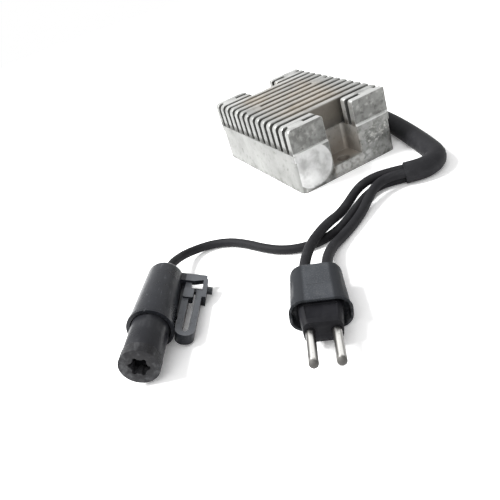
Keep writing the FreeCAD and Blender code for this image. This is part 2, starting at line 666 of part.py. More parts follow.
def arc_and_runs(points):
    """Returns a cord's path, straight runs joined by tangent arcs, and its least radius."""
    edges = []
    here = points[0]
    least = None
    for before, corner, after in zip(points, points[1:], points[2:]):
        incoming = (corner - before).normalize()
        outgoing = (after - corner).normalize()
        turn = incoming.getAngle(outgoing)
        tangent = ARC_SHARE * min(before.distanceToPoint(corner), corner.distanceToPoint(after))
        radius = tangent / math.tan(turn / 2)
        least = radius if least is None else min(least, radius)
        start = corner - incoming * tangent
        end = corner + outgoing * tangent
        inward = (outgoing - incoming).normalize()
        middle = corner + inward * (radius / math.cos(turn / 2) - radius)
        edges.append(Part.LineSegment(here, start).toShape())
        edges.append(Part.Arc(start, middle, end).toShape())
        here = end
    edges.append(Part.LineSegment(here, points[-1]).toShape())
    return Part.Wire(edges), least


def cord(name, points, radius):
    """Returns a cord's tube along its route and prints its length, radius and volume."""
    points = [vector(*point) for point in points]
    path, least = arc_and_runs(points)
    first = (points[1] - points[0]).normalize()
    ring = Part.Wire(Part.makeCircle(radius, points[0], first))
    tube = path.makePipeShell([ring], True, False, 1)
    ideal = math.pi * radius * radius * path.Length
    print(f"{name}: length {path.Length:.1f}, least radius {least:.1f}"
          f" ({least / (2 * radius):.1f} diameters), volume {tube.Volume / ideal:.4f} of ideal")
    return tube


def sleeve_mouth():
    """Returns the sleeve's open end: its middle, its heading and its right-hand side."""
    before, mouth = vector(*SLEEVE_ROUTE[-2]), vector(*SLEEVE_ROUTE[-1])
    heading = (mouth - before).normalize()
    return mouth, heading, vector(heading.y, -heading.x, 0)


def from_mouth(spread, rise, first_run):
    """Returns the first two points of a lead that leaves the sleeve's mouth."""
    mouth, heading, side = sleeve_mouth()
    start = mouth + side * spread + vector(0, 0, rise)
    return [tuple(start), tuple(start + heading * first_run)]


def plug_lie():
    """Returns where the plug lies: turned to its heading and rolled a little about its axis."""
    turn = FreeCAD.Rotation(vector(0, 0, 1), PLUG_HEADING) * FreeCAD.Rotation(vector(1, 0, 0), -PLUG_ROLL)
    return FreeCAD.Placement(vector(PLUG_PLACE[0], PLUG_PLACE[1], PLUG_AXIS_Z), turn)


def connector_lie():
    """Returns where the connector lies: rolled about its axis until its latch meets the floor."""
    roll = FreeCAD.Rotation(vector(1, 0, 0), -CONNECTOR_ROLL)
    turn = FreeCAD.Rotation(vector(0, 0, 1), CONNECTOR_HEADING) * roll
    return FreeCAD.Placement(vector(CONNECTOR_PLACE[0], CONNECTOR_PLACE[1], CONNECTOR_AXIS_Z), turn)


def placed(shape, lie):
    """Returns a shape moved from its own frame to where it lies."""
    turned = shape.copy()
    turned.Placement = lie
    return turned


def plug_cable_points(side):
    """Returns the last two points of a stator cable, in line with its pin."""
    ends = (PIN_BARREL_START - PLUG_LAST_RUN, PIN_BARREL_START)
    return [tuple(plug_lie().multVec(vector(x, side * PIN_SPACING / 2, 0))) for x in ends]


def connector_wire_points():
    """Returns the last two points of the output wire, in line with its terminal."""
    ends = (TERMINAL_START - CONNECTOR_LAST_RUN, TERMINAL_START)
    return [tuple(connector_lie().multVec(vector(x, 0, 0))) for x in ends]


def plug_outline(x, width, height, radius):
    """Returns a rounded outline across the plug at a distance from its rear face."""
    def place(across, up):
        return vector(x, across, up)
    return rounded_outline(width, height, radius, place)


def plug_loft(sections):
    """Returns a solid through outlines given as (x, width, height, radius)."""
    return Part.makeLoft([plug_outline(*section) for section in sections], True, True)


def pin_bores(start, length, radius):
    """Returns a pair of bores on the two pins' axes."""
    bores = [rod((start, side * PIN_SPACING / 2, 0), (1, 0, 0), radius, length) for side in (-1, 1)]
    return Part.makeCompound(bores)


def insert_form():
    """Returns the insert's outer form: shank in the body, then the tapered nose."""
    shank_start = PLUG_SKIRT_FLOOR - INSERT_SHANK_LENGTH
    shank = plug_loft([
        (shank_start, INSERT_SHANK_WIDTH, INSERT_SHANK_HEIGHT, INSERT_ROUNDING),
        (PLUG_SKIRT_FLOOR, INSERT_SHANK_WIDTH, INSERT_SHANK_HEIGHT, INSERT_ROUNDING),
    ])
    nose = plug_loft([
        (PLUG_SKIRT_FLOOR, INSERT_NOSE_WIDTH, INSERT_NOSE_HEIGHT, INSERT_ROUNDING),
        (INSERT_TIP_X, INSERT_TIP_WIDTH, INSERT_TIP_HEIGHT, INSERT_ROUNDING),
    ])
    return shank, nose


def plug_body():
    """Returns the moulded rubber body with its flared skirt."""
    lip = PLUG_LENGTH - PLUG_LIP_LENGTH
    main = plug_loft([
        (0, PLUG_REAR_WIDTH, PLUG_REAR_HEIGHT, PLUG_SHOULDER),
        (lip, PLUG_FRONT_WIDTH, PLUG_FRONT_HEIGHT, PLUG_SHOULDER),
    ])
    rear = [edge for edge in main.Edges if abs(edge.BoundBox.XMax) < 0.001]
    main = main.makeFillet(PLUG_REAR_FILLET, rear)
    flare = plug_loft([
        (lip, PLUG_FRONT_WIDTH, PLUG_FRONT_HEIGHT, PLUG_SHOULDER),
        (PLUG_LENGTH, PLUG_FRONT_WIDTH + 2 * PLUG_LIP_FLARE, PLUG_FRONT_HEIGHT + PLUG_LIP_FLARE, PLUG_SHOULDER),
    ])
    wall = 2 * PLUG_SKIRT_WALL
    skirt = plug_loft([
        (PLUG_SKIRT_FLOOR, PLUG_FRONT_WIDTH - wall, PLUG_FRONT_HEIGHT - wall, PLUG_SHOULDER - PLUG_SKIRT_WALL),
        (PLUG_LENGTH + 1, PLUG_FRONT_WIDTH - wall + PLUG_LIP_FLARE, PLUG_FRONT_HEIGHT - wall,
         PLUG_SHOULDER - PLUG_SKIRT_WALL),
    ])
    shank, _ = insert_form()
    body = main.fuse(flare).cut(skirt).cut(shank)
    body = body.cut(pin_bores(-1, PIN_BARREL_START + 1, CABLE_RADIUS))
    return body.cut(pin_bores(PIN_BARREL_START, PIN_BARREL_LENGTH, PIN_BARREL_RADIUS)).removeSplitter()


def plug_insert():
    """Returns the hard insert: it carries the pins and has a shallow pocket on its nose."""
    shank, nose = insert_form()
    top = INSERT_NOSE_HEIGHT / 2
    pocket_end = INSERT_TIP_X - INSERT_LIP
    pocket = block((PLUG_LENGTH, -INSERT_POCKET_WIDTH / 2, top - INSERT_POCKET_DEPTH),
                   (pocket_end, INSERT_POCKET_WIDTH / 2, top + 1))
    insert = shank.fuse(nose).cut(pocket)
    insert = insert.cut(pin_bores(PIN_BARREL_START, PIN_BARREL_LENGTH, PIN_BARREL_RADIUS))
    return insert.cut(pin_bores(PIN_BARREL_START, INSERT_TIP_X, PIN_SHANK_RADIUS)).removeSplitter()


def plug_pin(side):
    """Returns a pin: crimp barrel, narrower shank in the insert, and the bare pin with its round tip."""
    y = side * PIN_SPACING / 2
    tip = INSERT_TIP_X + PIN_REACH
    round_start = tip - PIN_RADIUS
    barrel = rod((PIN_BARREL_START, y, 0), (1, 0, 0), PIN_BARREL_RADIUS, PIN_BARREL_LENGTH)
    shank = rod((PIN_BARREL_START, y, 0), (1, 0, 0), PIN_SHANK_RADIUS, INSERT_TIP_X - PIN_BARREL_START)
    bare = rod((INSERT_TIP_X, y, 0), (1, 0, 0), PIN_RADIUS, round_start - INSERT_TIP_X)
    point = Part.makeSphere(PIN_RADIUS, vector(round_start, y, 0))
    return barrel.fuse(shank).fuse(bare).fuse(point).removeSplitter()


def turned(profile):
    """Returns a solid of revolution about X from (x, radius) corners."""
    face = Part.Face(Part.makePolygon([vector(x, radius, 0) for x, radius in profile + profile[:1]]))
    return face.revolve(vector(0, 0, 0), vector(1, 0, 0), 360)


def shell_barrel():
    """Returns the connector's round barrel: domed rear, slow taper and banded rim."""
    band_start = SHELL_LENGTH - RIM_BAND_LENGTH
    dome = SHELL_DOME
    bulge = math.sqrt(0.5)
    rear_drop = SHELL_REAR_RADIUS - SHELL_MOUTH_RADIUS
    points = [vector(0, 0, 0), vector(0, SHELL_MOUTH_RADIUS, 0)]
    arc_middle = vector(dome * (1 - bulge), SHELL_MOUTH_RADIUS + rear_drop * bulge, 0)
    corners = [
        (dome, SHELL_REAR_RADIUS), (band_start, SHELL_RIM_RADIUS),
        (band_start, SHELL_RIM_RADIUS + RIM_BAND_HEIGHT), (SHELL_LENGTH, SHELL_RIM_RADIUS + RIM_BAND_HEIGHT),
        (SHELL_LENGTH, 0),
    ]
    path = [vector(x, radius, 0) for x, radius in corners]
    edges = [Part.LineSegment(points[0], points[1]), Part.Arc(points[1], arc_middle, path[0])]
    edges += [Part.LineSegment(a, b) for a, b in zip(path, path[1:] + points[:1])]
    face = Part.Face(Part.Wire([edge.toShape() for edge in edges]))
    barrel = face.revolve(vector(0, 0, 0), vector(1, 0, 0), 360)
    rim = rod((SHELL_LENGTH - RIM_DEPTH, 0, 0), (1, 0, 0), SHELL_RIM_RADIUS - RIM_WALL, RIM_DEPTH)
    seat = rod((NOSE_START, 0, 0), (1, 0, 0), NOSE_RADIUS, SHELL_LENGTH - NOSE_START)
    core = rod((TERMINAL_START, 0, 0), (1, 0, 0), TERMINAL_RADIUS, SHELL_LENGTH)
    gland = rod((0, 0, 0), (1, 0, 0), WIRE_SEAL_RADIUS, WIRE_SEAL_LENGTH)
    wire = rod((0, 0, 0), (1, 0, 0), WIRE_RADIUS, TERMINAL_START)
    return barrel.cut(rim).cut(seat).cut(core).cut(gland).cut(wire)


def latch_frame():
    """Returns the latch on the barrel's side: two arms joined by a bend, pad, hook and knob."""
    half = ARM_HEIGHT / 2
    inner = ARM_GAP_TO_AXIS
    inner_edge = inner + INNER_ARM_WIDTH
    outer = inner_edge + ARM_SPACE
    outer_edge = outer + OUTER_ARM_WIDTH
    middle = (inner + outer_edge) / 2
    frame = block((ARM_REAR, inner, -half), (ARM_BEND_X, inner_edge, half))
    frame = frame.fuse(block((OUTER_ARM_REAR, outer, -half), (ARM_BEND_X, outer_edge, half)))
    bend = rod((ARM_BEND_X, middle, -half), (0, 0, 1), (outer_edge - inner) / 2, ARM_HEIGHT)
    bend = bend.cut(rod((ARM_BEND_X, middle, -half), (0, 0, 1), ARM_SPACE / 2, ARM_HEIGHT))
    bend = bend.cut(block((0, 0, -half), (ARM_BEND_X, outer_edge + 1, half)))
    frame = frame.fuse(bend)
    web = block((ARM_REAR, SHELL_REAR_RADIUS / 2, -ARM_WEB_THICKNESS / 2),
                (SHELL_LENGTH - RIM_DEPTH, inner, ARM_WEB_THICKNESS / 2))
    pad = block((PAD_START, inner, 0), (PAD_START + PAD_LENGTH, inner_edge + PAD_OVERHANG, half + PAD_RISE))
    hook_end = HOOK_START + HOOK_LENGTH
    hook = prism([
        (HOOK_START, outer_edge, -half), (hook_end, outer_edge, -half), (hook_end, outer_edge, half),
        (HOOK_START + HOOK_WIDTH, outer_edge, half + HOOK_RISE), (HOOK_START, outer_edge, half + HOOK_RISE / 2),
    ], (0, HOOK_WIDTH, 0))
    tie = block((HOOK_START, inner_edge, -half), (HOOK_START + OUTER_ARM_WIDTH, outer_edge, -half / 3))
    knob_x = HOOK_START + HOOK_LENGTH / 3
    knob = rod((knob_x, outer_edge + HOOK_WIDTH, half / 2), (0, 1, 0), KNOB_RADIUS, KNOB_REACH)
    return frame.fuse(web).fuse(pad).fuse(hook).fuse(tie).fuse(knob)


def wing():
    """Returns the guard wing beside the connector's rear end, with its cut-back corner."""
    root, rise = SHELL_REAR_RADIUS / 2, WING_RISE
    start, end = WING_START, WING_START + WING_LENGTH
    return prism([
        (start, root, rise), (start, WING_REACH - 1, rise), (start + 1, WING_REACH, rise),
        (end - WING_CHAMFER / 2, WING_REACH, rise), (end, WING_REACH - 2 * WING_CHAMFER, rise),
        (end, root, rise),
    ], (0, 0, WING_THICKNESS))


def connector_shell():
    """Returns the moulded shell: barrel, latch frame and guard wing in one piece."""
    extras = latch_frame().fuse(wing())
    hollow = rod((0, 0, 0), (1, 0, 0), (SHELL_REAR_RADIUS + WIRE_SEAL_RADIUS) / 2, SHELL_LENGTH)
    seat = rod((NOSE_START, 0, 0), (1, 0, 0), NOSE_RADIUS, SHELL_LENGTH)
    return shell_barrel().fuse(extras.cut(hollow).cut(seat)).removeSplitter()


def connector_nose():
    """Returns the inner tube that stands out of the shell: solid web, then open bore."""
    nose = rod((NOSE_START, 0, 0), (1, 0, 0), NOSE_RADIUS, NOSE_END - NOSE_START)
    nose = nose.cut(rod((NOSE_START, 0, 0), (1, 0, 0), TERMINAL_RADIUS, NOSE_WEB_LENGTH))
    return nose.cut(rod((NOSE_WEB_END, 0, 0), (1, 0, 0), NOSE_BORE, NOSE_END - NOSE_WEB_END))


def connector_seal():
    """Returns the rubber end seal with its lobed hole."""
    seal = rod((NOSE_END, 0, 0), (1, 0, 0), SEAL_RADIUS, SEAL_LENGTH)
    seal = seal.cut(rod((NOSE_END, 0, 0), (1, 0, 0), SEAL_HOLE_RADIUS, SEAL_LENGTH))
    for index in range(SEAL_LOBES):
        angle = 2 * math.pi * index / SEAL_LOBES
        place = (NOSE_END, SEAL_HOLE_RADIUS * math.cos(angle), SEAL_HOLE_RADIUS * math.sin(angle))
        seal = seal.cut(rod(place, (1, 0, 0), SEAL_LOBE_RADIUS, SEAL_LENGTH))
    return seal


def connector_wire_seal():
    """Returns the ribbed seal around the wire at the connector's rear."""
    seal = rod((0, 0, 0), (1, 0, 0), WIRE_SEAL_RADIUS, WIRE_SEAL_LENGTH)
    return seal.cut(rod((0, 0, 0), (1, 0, 0), WIRE_RADIUS, WIRE_SEAL_LENGTH))


def connector_socket():
    """Returns the socket terminal that takes the mating pin."""
    length = TERMINAL_END - TERMINAL_START
    terminal = rod((TERMINAL_START, 0, 0), (1, 0, 0), TERMINAL_RADIUS, length)
    mouth = (TERMINAL_END - TERMINAL_BORE_DEPTH, 0, 0)
    return terminal.cut(rod(mouth, (1, 0, 0), TERMINAL_BORE, TERMINAL_BORE_DEPTH))


def sealed_parts():
    """Returns what lies in the potting by node name, the leads apart."""
    left_front, right_front, left_rear, right_rear = device_places()
    parts = {
        "circuit_board": circuit_board(),
        "board_screws": board_screws(),
        "insulating_film": insulating_film(),
        "thyristor_1": power_device(left_front),
        "thyristor_2": power_device(right_front),
        "rectifier_diode_1": power_device(left_rear),
        "rectifier_diode_2": power_device(right_rear),
        "device_screws": device_screws(),
        "filter_capacitor": filter_capacitor(),
        "control_transistor": control_transistor(),
        "zener_diode": axial_part(ZENER_ROW, ZENER_RADIUS, ZENER_LENGTH),
    }
    for number, row in enumerate(RESISTOR_ROWS, start=1):
        parts[f"resistor_{number}"] = axial_part(row, RESISTOR_RADIUS, RESISTOR_LENGTH)
    parts.update(solder_tabs())
    return parts


def cords():
    """Returns the sleeve and its three leads by node name."""
    start = (SLEEVE_START_X, EXIT_Y, EXIT_Z)
    cable_a = from_mouth(CABLE_SPREAD, CABLE_RISE, CABLE_A_FIRST_RUN)
    cable_b = from_mouth(-CABLE_SPREAD, CABLE_RISE, CABLE_B_FIRST_RUN)
    wire = from_mouth(0, -WIRE_DROP, WIRE_FIRST_RUN)
    cable_a += list(CABLE_A_ROUTE) + plug_cable_points(-1)
    cable_b += list(CABLE_B_ROUTE) + plug_cable_points(1)
    wire += list(WIRE_ROUTE) + connector_wire_points()
    return {
        "cable_sleeve": cord("cable_sleeve", [start] + list(SLEEVE_ROUTE), SLEEVE_RADIUS),
        "stator_cable_a": cord("stator_cable_a", cable_a, CABLE_RADIUS),
        "stator_cable_b": cord("stator_cable_b", cable_b, CABLE_RADIUS),
        "output_wire": cord("output_wire", wire, WIRE_RADIUS),
    }


def plug():
    """Returns the plug's pieces by node name, where they lie."""
    pieces = {"plug_body": plug_body(), "plug_insert": plug_insert(),
              "plug_pin_a": plug_pin(-1), "plug_pin_b": plug_pin(1)}
    return {name: placed(shape, plug_lie()) for name, shape in pieces.items()}


def connector():
    """Returns the connector's pieces by node name, where they lie."""
    pieces = {"connector_shell": connector_shell(), "connector_nose": connector_nose(),
              "connector_seal": connector_seal(), "connector_wire_seal": connector_wire_seal(),
              "connector_socket": connector_socket()}
    return {name: placed(shape, connector_lie())
            for name, shape in pieces.items()}


def main():
    """Builds every piece and writes one file for each."""
    leads = lead_ends()
    sealed = sealed_parts()
    grommet = cable_grommet(list(leads.values()))
    nodes = {"heatsink_housing": heatsink_housing(), "cable_grommet": grommet}
    nodes.update(leads)
    nodes.update(sealed)
    nodes["potting_compound"] = potting_compound(list(sealed.values()) + list(leads.values()) + [grommet])
    nodes.update(cords())
    nodes.update(plug())
    nodes.update(connector())
    os.makedirs("parts", exist_ok=True)
    for name, shape in nodes.items():
        if not shape.isValid():
            print(f"{name}: not valid")
        shape.exportStep(f"parts/{name}.step")
        print(f"{name}: {len(shape.Solids)} solid, volume {shape.Volume:.1f}")


main()
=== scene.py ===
"""Dresses the voltage regulator rectifier: its casting, cords, plug and latching connector.

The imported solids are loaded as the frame. The pieces that show are modelled again around
them with their rounded edges, and every surface gets its own finish. Pieces are modelled in
millimetres, each in its own frame, and are then set down in the object's frame in metres.
"""

import json
import logging
import math
from collections.abc import Callable, Iterator, Sequence
from contextlib import contextmanager
from dataclasses import dataclass
from enum import Enum

import bmesh
import bpy
from mathutils import Euler, Matrix, Vector

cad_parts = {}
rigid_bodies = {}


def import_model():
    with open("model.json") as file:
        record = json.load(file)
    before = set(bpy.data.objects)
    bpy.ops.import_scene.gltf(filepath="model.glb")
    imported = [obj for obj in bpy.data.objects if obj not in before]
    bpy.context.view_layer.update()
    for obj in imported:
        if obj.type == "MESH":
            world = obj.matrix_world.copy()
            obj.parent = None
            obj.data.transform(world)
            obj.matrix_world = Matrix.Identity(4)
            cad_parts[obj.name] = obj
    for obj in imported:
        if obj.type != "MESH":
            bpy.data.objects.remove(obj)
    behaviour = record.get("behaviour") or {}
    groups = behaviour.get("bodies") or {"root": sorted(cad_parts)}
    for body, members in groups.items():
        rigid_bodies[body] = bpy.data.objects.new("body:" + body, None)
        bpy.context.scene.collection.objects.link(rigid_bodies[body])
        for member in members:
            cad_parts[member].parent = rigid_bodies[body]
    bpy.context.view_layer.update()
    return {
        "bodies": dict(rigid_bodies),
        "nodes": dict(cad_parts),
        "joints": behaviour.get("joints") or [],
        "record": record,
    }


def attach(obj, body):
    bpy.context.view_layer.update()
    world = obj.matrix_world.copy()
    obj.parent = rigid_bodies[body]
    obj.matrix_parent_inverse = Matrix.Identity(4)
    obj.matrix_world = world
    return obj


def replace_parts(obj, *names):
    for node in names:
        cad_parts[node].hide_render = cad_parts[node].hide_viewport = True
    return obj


LOG = logging.getLogger("regulator")
MM = 0.001
Point = tuple[float, float, float]
Colour = tuple[float, float, float]
Piece = bpy.types.Object
Test = Callable[[Vector, Vector], bool]
WHITE: Colour = (1.0, 1.0, 1.0)


class Cut(Enum):
    """How a tool acts on a piece in Bench.combine."""

    REMOVE = "DIFFERENCE"
    ADD = "UNION"


class Axis(Enum):
    """The direction that a rod or a piece runs in."""

    X = (0.0, math.pi / 2, 0.0)
    Y = (-math.pi / 2, 0.0, 0.0)
    Z = (0.0, 0.0, 0.0)


@dataclass(frozen=True)
class Place:
    """Where a piece's own frame lies: its origin in millimetres, its heading and roll in degrees."""

    x: float = 0.0
    y: float = 0.0
    z: float = 0.0
    heading: float = 0.0
    roll: float = 0.0

    def turn(self) -> tuple[float, float, float]:
        """Gives the frame's rotation.

        Returns:
            The angles about X, Y and Z, in radians.
        """
        return (math.radians(-self.roll), 0.0, math.radians(self.heading))

    def carry(self, point: Point) -> Point:
        """Takes a point of the piece's own frame to the object's frame.

        Args:
            point: The point, in millimetres.

        Returns:
            The same point in the object's frame, in millimetres.
        """
        moved = Euler(self.turn()).to_matrix() @ Vector(point) + Vector((self.x, self.y, self.z))
        return tuple(moved)


class Bench:
    """The modelling operators that every piece is shaped with, in millimetres."""

    @staticmethod
    def pick(*pieces: Piece) -> None:
        """Selects these pieces alone and makes the first one active.

        Args:
            pieces: The pieces to select.
        """
        if bpy.context.mode != "OBJECT":
            bpy.ops.object.mode_set(mode="OBJECT")
        bpy.ops.object.select_all(action="DESELECT")
        for piece in pieces:
            piece.select_set(True)
        if pieces:
            bpy.context.view_layer.objects.active = pieces[0]

    @classmethod
    def _adopt(cls, name: str) -> Piece:
        """Names the newest primitive and moves its place into its mesh.

        Args:
            name: The piece's name.

        Returns:
            The new piece.
        """
        piece = bpy.context.active_object
        piece.name = name
        piece.data.name = name
        cls.pick(piece)
        bpy.ops.object.transform_apply(location=True, rotation=True, scale=True)
        return piece

    @classmethod
    def block(cls, name: str, low: Point, high: Point) -> Piece:
        """Adds a block between two corners.

        Args:
            name: The piece's name.
            low: Its lowest corner.
            high: Its highest corner.

        Returns:
            The new piece.
        """
        cls.pick()
        middle = [(a + b) / 2 for a, b in zip(low, high)]
        bpy.ops.mesh.primitive_cube_add(size=1.0, location=middle)
        bpy.context.active_object.scale = [b - a for a, b in zip(low, high)]
        return cls._adopt(name)

    @classmethod
    def rod(
        cls, name: str, start: Point, axis: Axis, radius: float, length: float, sides: int = 64
    ) -> Piece:
        """Adds a round rod that starts at a point and runs along an axis.

        Args:
            name: The piece's name.
            start: The middle of its first end.
            axis: The axis that it runs along.
            radius: Its radius.
            length: Its length.
            sides: The number of its flat sides.

        Returns:
            The new piece.
        """
        cls.pick()
        step = {Axis.X: (1, 0, 0), Axis.Y: (0, 1, 0), Axis.Z: (0, 0, 1)}[axis]
        middle = [a + b * length / 2 for a, b in zip(start, step)]
        bpy.ops.mesh.primitive_cylinder_add(
            vertices=sides, radius=radius, depth=length, location=middle, rotation=axis.value
        )
        return cls._adopt(name)

    @classmethod
    @contextmanager
    def editing(cls, piece: Piece, mode: str = "FACE") -> Iterator[bmesh.types.BMesh]:
        """Opens a piece in edit mode with nothing selected.

        Args:
            piece: The piece to edit.
            mode: What is selected in it: VERT, EDGE or FACE.

        Yields:
            The piece's edit mesh.
        """
        cls.pick(piece)
        bpy.ops.object.mode_set(mode="EDIT")
        bpy.ops.mesh.select_mode(type=mode)
        bpy.ops.mesh.select_all(action="DESELECT")
        yield bmesh.from_edit_mesh(piece.data)
        bpy.ops.object.mode_set(mode="OBJECT")

    @staticmethod
    def choose_faces(piece: Piece, mesh: bmesh.types.BMesh, test: Test) -> None:
        """Selects the faces whose middle and normal pass a test.

        Args:
            piece: The piece in edit mode.
            mesh: Its edit mesh.
            test: Takes a face's middle and normal.
        """
        for face in mesh.faces:
            face.select_set(test(face.calc_center_median(), face.normal))
        bmesh.update_edit_mesh(piece.data)

    @staticmethod
    def choose_edges(piece: Piece, mesh: bmesh.types.BMesh, test: Test) -> None:
        """Selects the edges whose middle and direction pass a test.

        Args:
            piece: The piece in edit mode.
            mesh: Its edit mesh.
            test: Takes an edge's middle and its unsigned direction.
        """
        for edge in mesh.edges:
            a, b = (vert.co for vert in edge.verts)
            line = (b - a).normalized()
            edge.select_set(test((a + b) / 2, Vector(map(abs, line))))
        bmesh.update_edit_mesh(piece.data)

    @classmethod
    def round_edges(cls, piece: Piece, test: Test, radius: float, steps: int = 4) -> Piece:
        """Bevels the edges that pass a test.

        Args:
            piece: The piece to shape.
            test: Takes an edge's middle and its unsigned direction.
            radius: The bevel's width.
            steps: The bevel's segments.

        Returns:
            The same piece.
        """
        with cls.editing(piece, "EDGE") as mesh:
            cls.choose_edges(piece, mesh, test)
            bpy.ops.mesh.bevel(offset=radius, segments=steps, affect="EDGES")
        return piece

    @classmethod
    def scale_faces(cls, piece: Piece, test: Test, factors: Point, centre: Point) -> Piece:
        """Resizes the faces that pass a test about a centre.

        Args:
            piece: The piece to shape.
            test: Takes a face's middle and normal.
            factors: The scale along X, Y and Z.
            centre: The point that stays where it is.

        Returns:
            The same piece.
        """
        with cls.editing(piece) as mesh:
            cls.choose_faces(piece, mesh, test)
            bpy.ops.transform.resize(value=factors, center_override=centre)
        return piece

    @classmethod
    def sink(cls, piece: Piece, test: Test, wall: float, depth: Point) -> Piece:
        """Insets the faces that pass a test and extrudes what is left of them.

        Args:
            piece: The piece to shape.
            test: Takes a face's middle and normal.
            wall: The width that the inset leaves around them.
            depth: The vector that the inner faces move by.

        Returns:
            The same piece.
        """
        with cls.editing(piece) as mesh:
            cls.choose_faces(piece, mesh, test)
            bpy.ops.mesh.inset(thickness=wall)
            bpy.ops.mesh.extrude_region_move(TRANSFORM_OT_translate={"value": depth})
        return piece

    @classmethod
    def combine(cls, piece: Piece, tool: Piece, cut: Cut, own: bool = False) -> Piece:
        """Applies a boolean of a tool to a piece and deletes the tool.

        Args:
            piece: The piece that stays.
            tool: The piece that is used up.
            cut: How the tool acts.
            own: Whether the piece or tool also crosses itself.

        Returns:
            The piece.
        """
        cls.pick(piece)
        boolean = piece.modifiers.new("combine", "BOOLEAN")
        boolean.operation = cut.value
        boolean.solver = "EXACT"
        boolean.use_self = own
        boolean.object = tool
        bpy.ops.object.modifier_apply(modifier=boolean.name)
        used = tool.data
        bpy.data.objects.remove(tool)
        bpy.data.meshes.remove(used)
        return piece

    @classmethod
    def copy(cls, piece: Piece, step: Point) -> Piece:
        """Duplicates a piece with its own mesh.

        Args:
            piece: The piece to copy.
            step: How far the copy moves.

        Returns:
            The copy.
        """
        cls.pick(piece)
        bpy.ops.object.duplicate_move(TRANSFORM_OT_translate={"value": step})
        twin = bpy.context.active_object
        bpy.ops.object.transform_apply(location=True, rotation=True, scale=True)
        return twin

    @classmethod
    def join(cls, pieces: Sequence[Piece]) -> Piece:
        """Joins several pieces into the first of them.

        Args:
            pieces: The pieces; the first one stays.

        Returns:
            The joined piece.
        """
        cls.pick(*pieces)
        bpy.ops.object.join()
        return bpy.context.active_object

    @classmethod
    def soften(cls, piece: Piece, width: float, steps: int = 2, angle: float = 32.0) -> Piece:
        """Rounds all of a piece's sharp edges with a bevel modifier.

        Args:
            piece: The piece to finish.
            width: The bevel's width.
            steps: The bevel's segments.
            angle: The least angle between faces, in degrees, that counts as sharp.

        Returns:
            The same piece.
        """
        with cls.editing(piece, "VERT"):
            bpy.ops.mesh.select_all(action="SELECT")
            bpy.ops.mesh.remove_doubles(threshold=0.01)
            bpy.ops.mesh.dissolve_limited(angle_limit=math.radians(0.5))
        bevel = piece.modifiers.new("soften", "BEVEL")
        bevel.width = width
        bevel.segments = steps
        bevel.limit_method = "ANGLE"
        bevel.angle_limit = math.radians(angle)
        bevel.use_clamp_overlap = True
        bevel.miter_outer = "MITER_ARC"
        bpy.ops.object.modifier_apply(modifier=bevel.name)
        return piece

    @classmethod
    def settle(cls, piece: Piece, place: Place = Place(), smooth: float = 40.0) -> Piece:
        """Sets a finished piece down in the object's frame, in metres.

        Args:
            piece: The finished piece.
            place: Where its own frame lies.
            smooth: The angle in degrees below which its faces are shaded smooth.

        Returns:
            The same piece, riding on the object's body.
        """
        with cls.editing(piece, "VERT"):
            bpy.ops.mesh.select_all(action="SELECT")
            bpy.ops.mesh.remove_doubles(threshold=0.002)
            bpy.ops.mesh.normals_make_consistent(inside=False)
        piece.scale = (MM, MM, MM)
        piece.location = Vector((place.x, place.y, place.z)) * MM
        piece.rotation_euler = place.turn()
        cls.pick(piece)
        bpy.ops.object.transform_apply(location=True, rotation=True, scale=True)
        bpy.ops.object.shade_smooth_by_angle(angle=math.radians(smooth))
        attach(piece, "root")
        return piece


@dataclass(frozen=True)
class Signal:
    """One output of a material's nodes, which takes part in sums as a number does."""

    graph: "Nodes"
    socket: bpy.types.NodeSocket

    def _math(self, operation: str, first: "Signal | float", second: "Signal | float" = 0.0) -> "Signal":
        """Adds a Math node.

        Args:
            operation: What it computes.
            first: Its first input.
            second: Its second input.

        Returns:
            Its result.
        """
        return self.graph.node("ShaderNodeMath", {"operation": operation}, {0: first, 1: second}, "Value")

    def __add__(self, other: "Signal | float") -> "Signal":
        """Adds two signals.

        Args:
            other: The other signal or a number.

        Returns:
            The sum.
        """
        return self._math("ADD", self, other)

    __radd__ = __add__

    def __sub__(self, other: "Signal | float") -> "Signal":
        """Subtracts from this signal.

        Args:
            other: The other signal or a number.

        Returns:
            The difference.
        """
        return self._math("SUBTRACT", self, other)

    def __rsub__(self, other: "Signal | float") -> "Signal":
        """Subtracts this signal from a number.

        Args:
            other: The number.

        Returns:
            The difference.
        """
        return self._math("SUBTRACT", other, self)

    def __mul__(self, other: "Signal | float") -> "Signal":
        """Multiplies two signals.

        Args:
            other: The other signal or a number.

        Returns:
            The product.
        """
        return self._math("MULTIPLY", self, other)

    __rmul__ = __mul__

    def __abs__(self) -> "Signal":
        """Takes the sign away.

        Returns:
            The size.
        """
        return self._math("ABSOLUTE", self)

    def most(self, other: "Signal | float") -> "Signal":
        """Takes the larger of two.

        Args:
            other: The other signal or a number.

        Returns:
            The larger one.
        """
        return self._math("MAXIMUM", self, other)

    def fade(self, low: float, high: float) -> "Signal":
        """Turns a range into a smooth mask.

        Args:
            low: The value where the mask is 0.
            high: The value where the mask is 1; it may be the smaller.

        Returns:
            The mask, from 0 to 1.
        """
        settings = {"interpolation_type": "SMOOTHSTEP", "clamp": True}
        inputs = {"Value": self, "From Min": low, "From Max": high}
        return self.graph.node("ShaderNodeMapRange", settings, inputs, "Result")


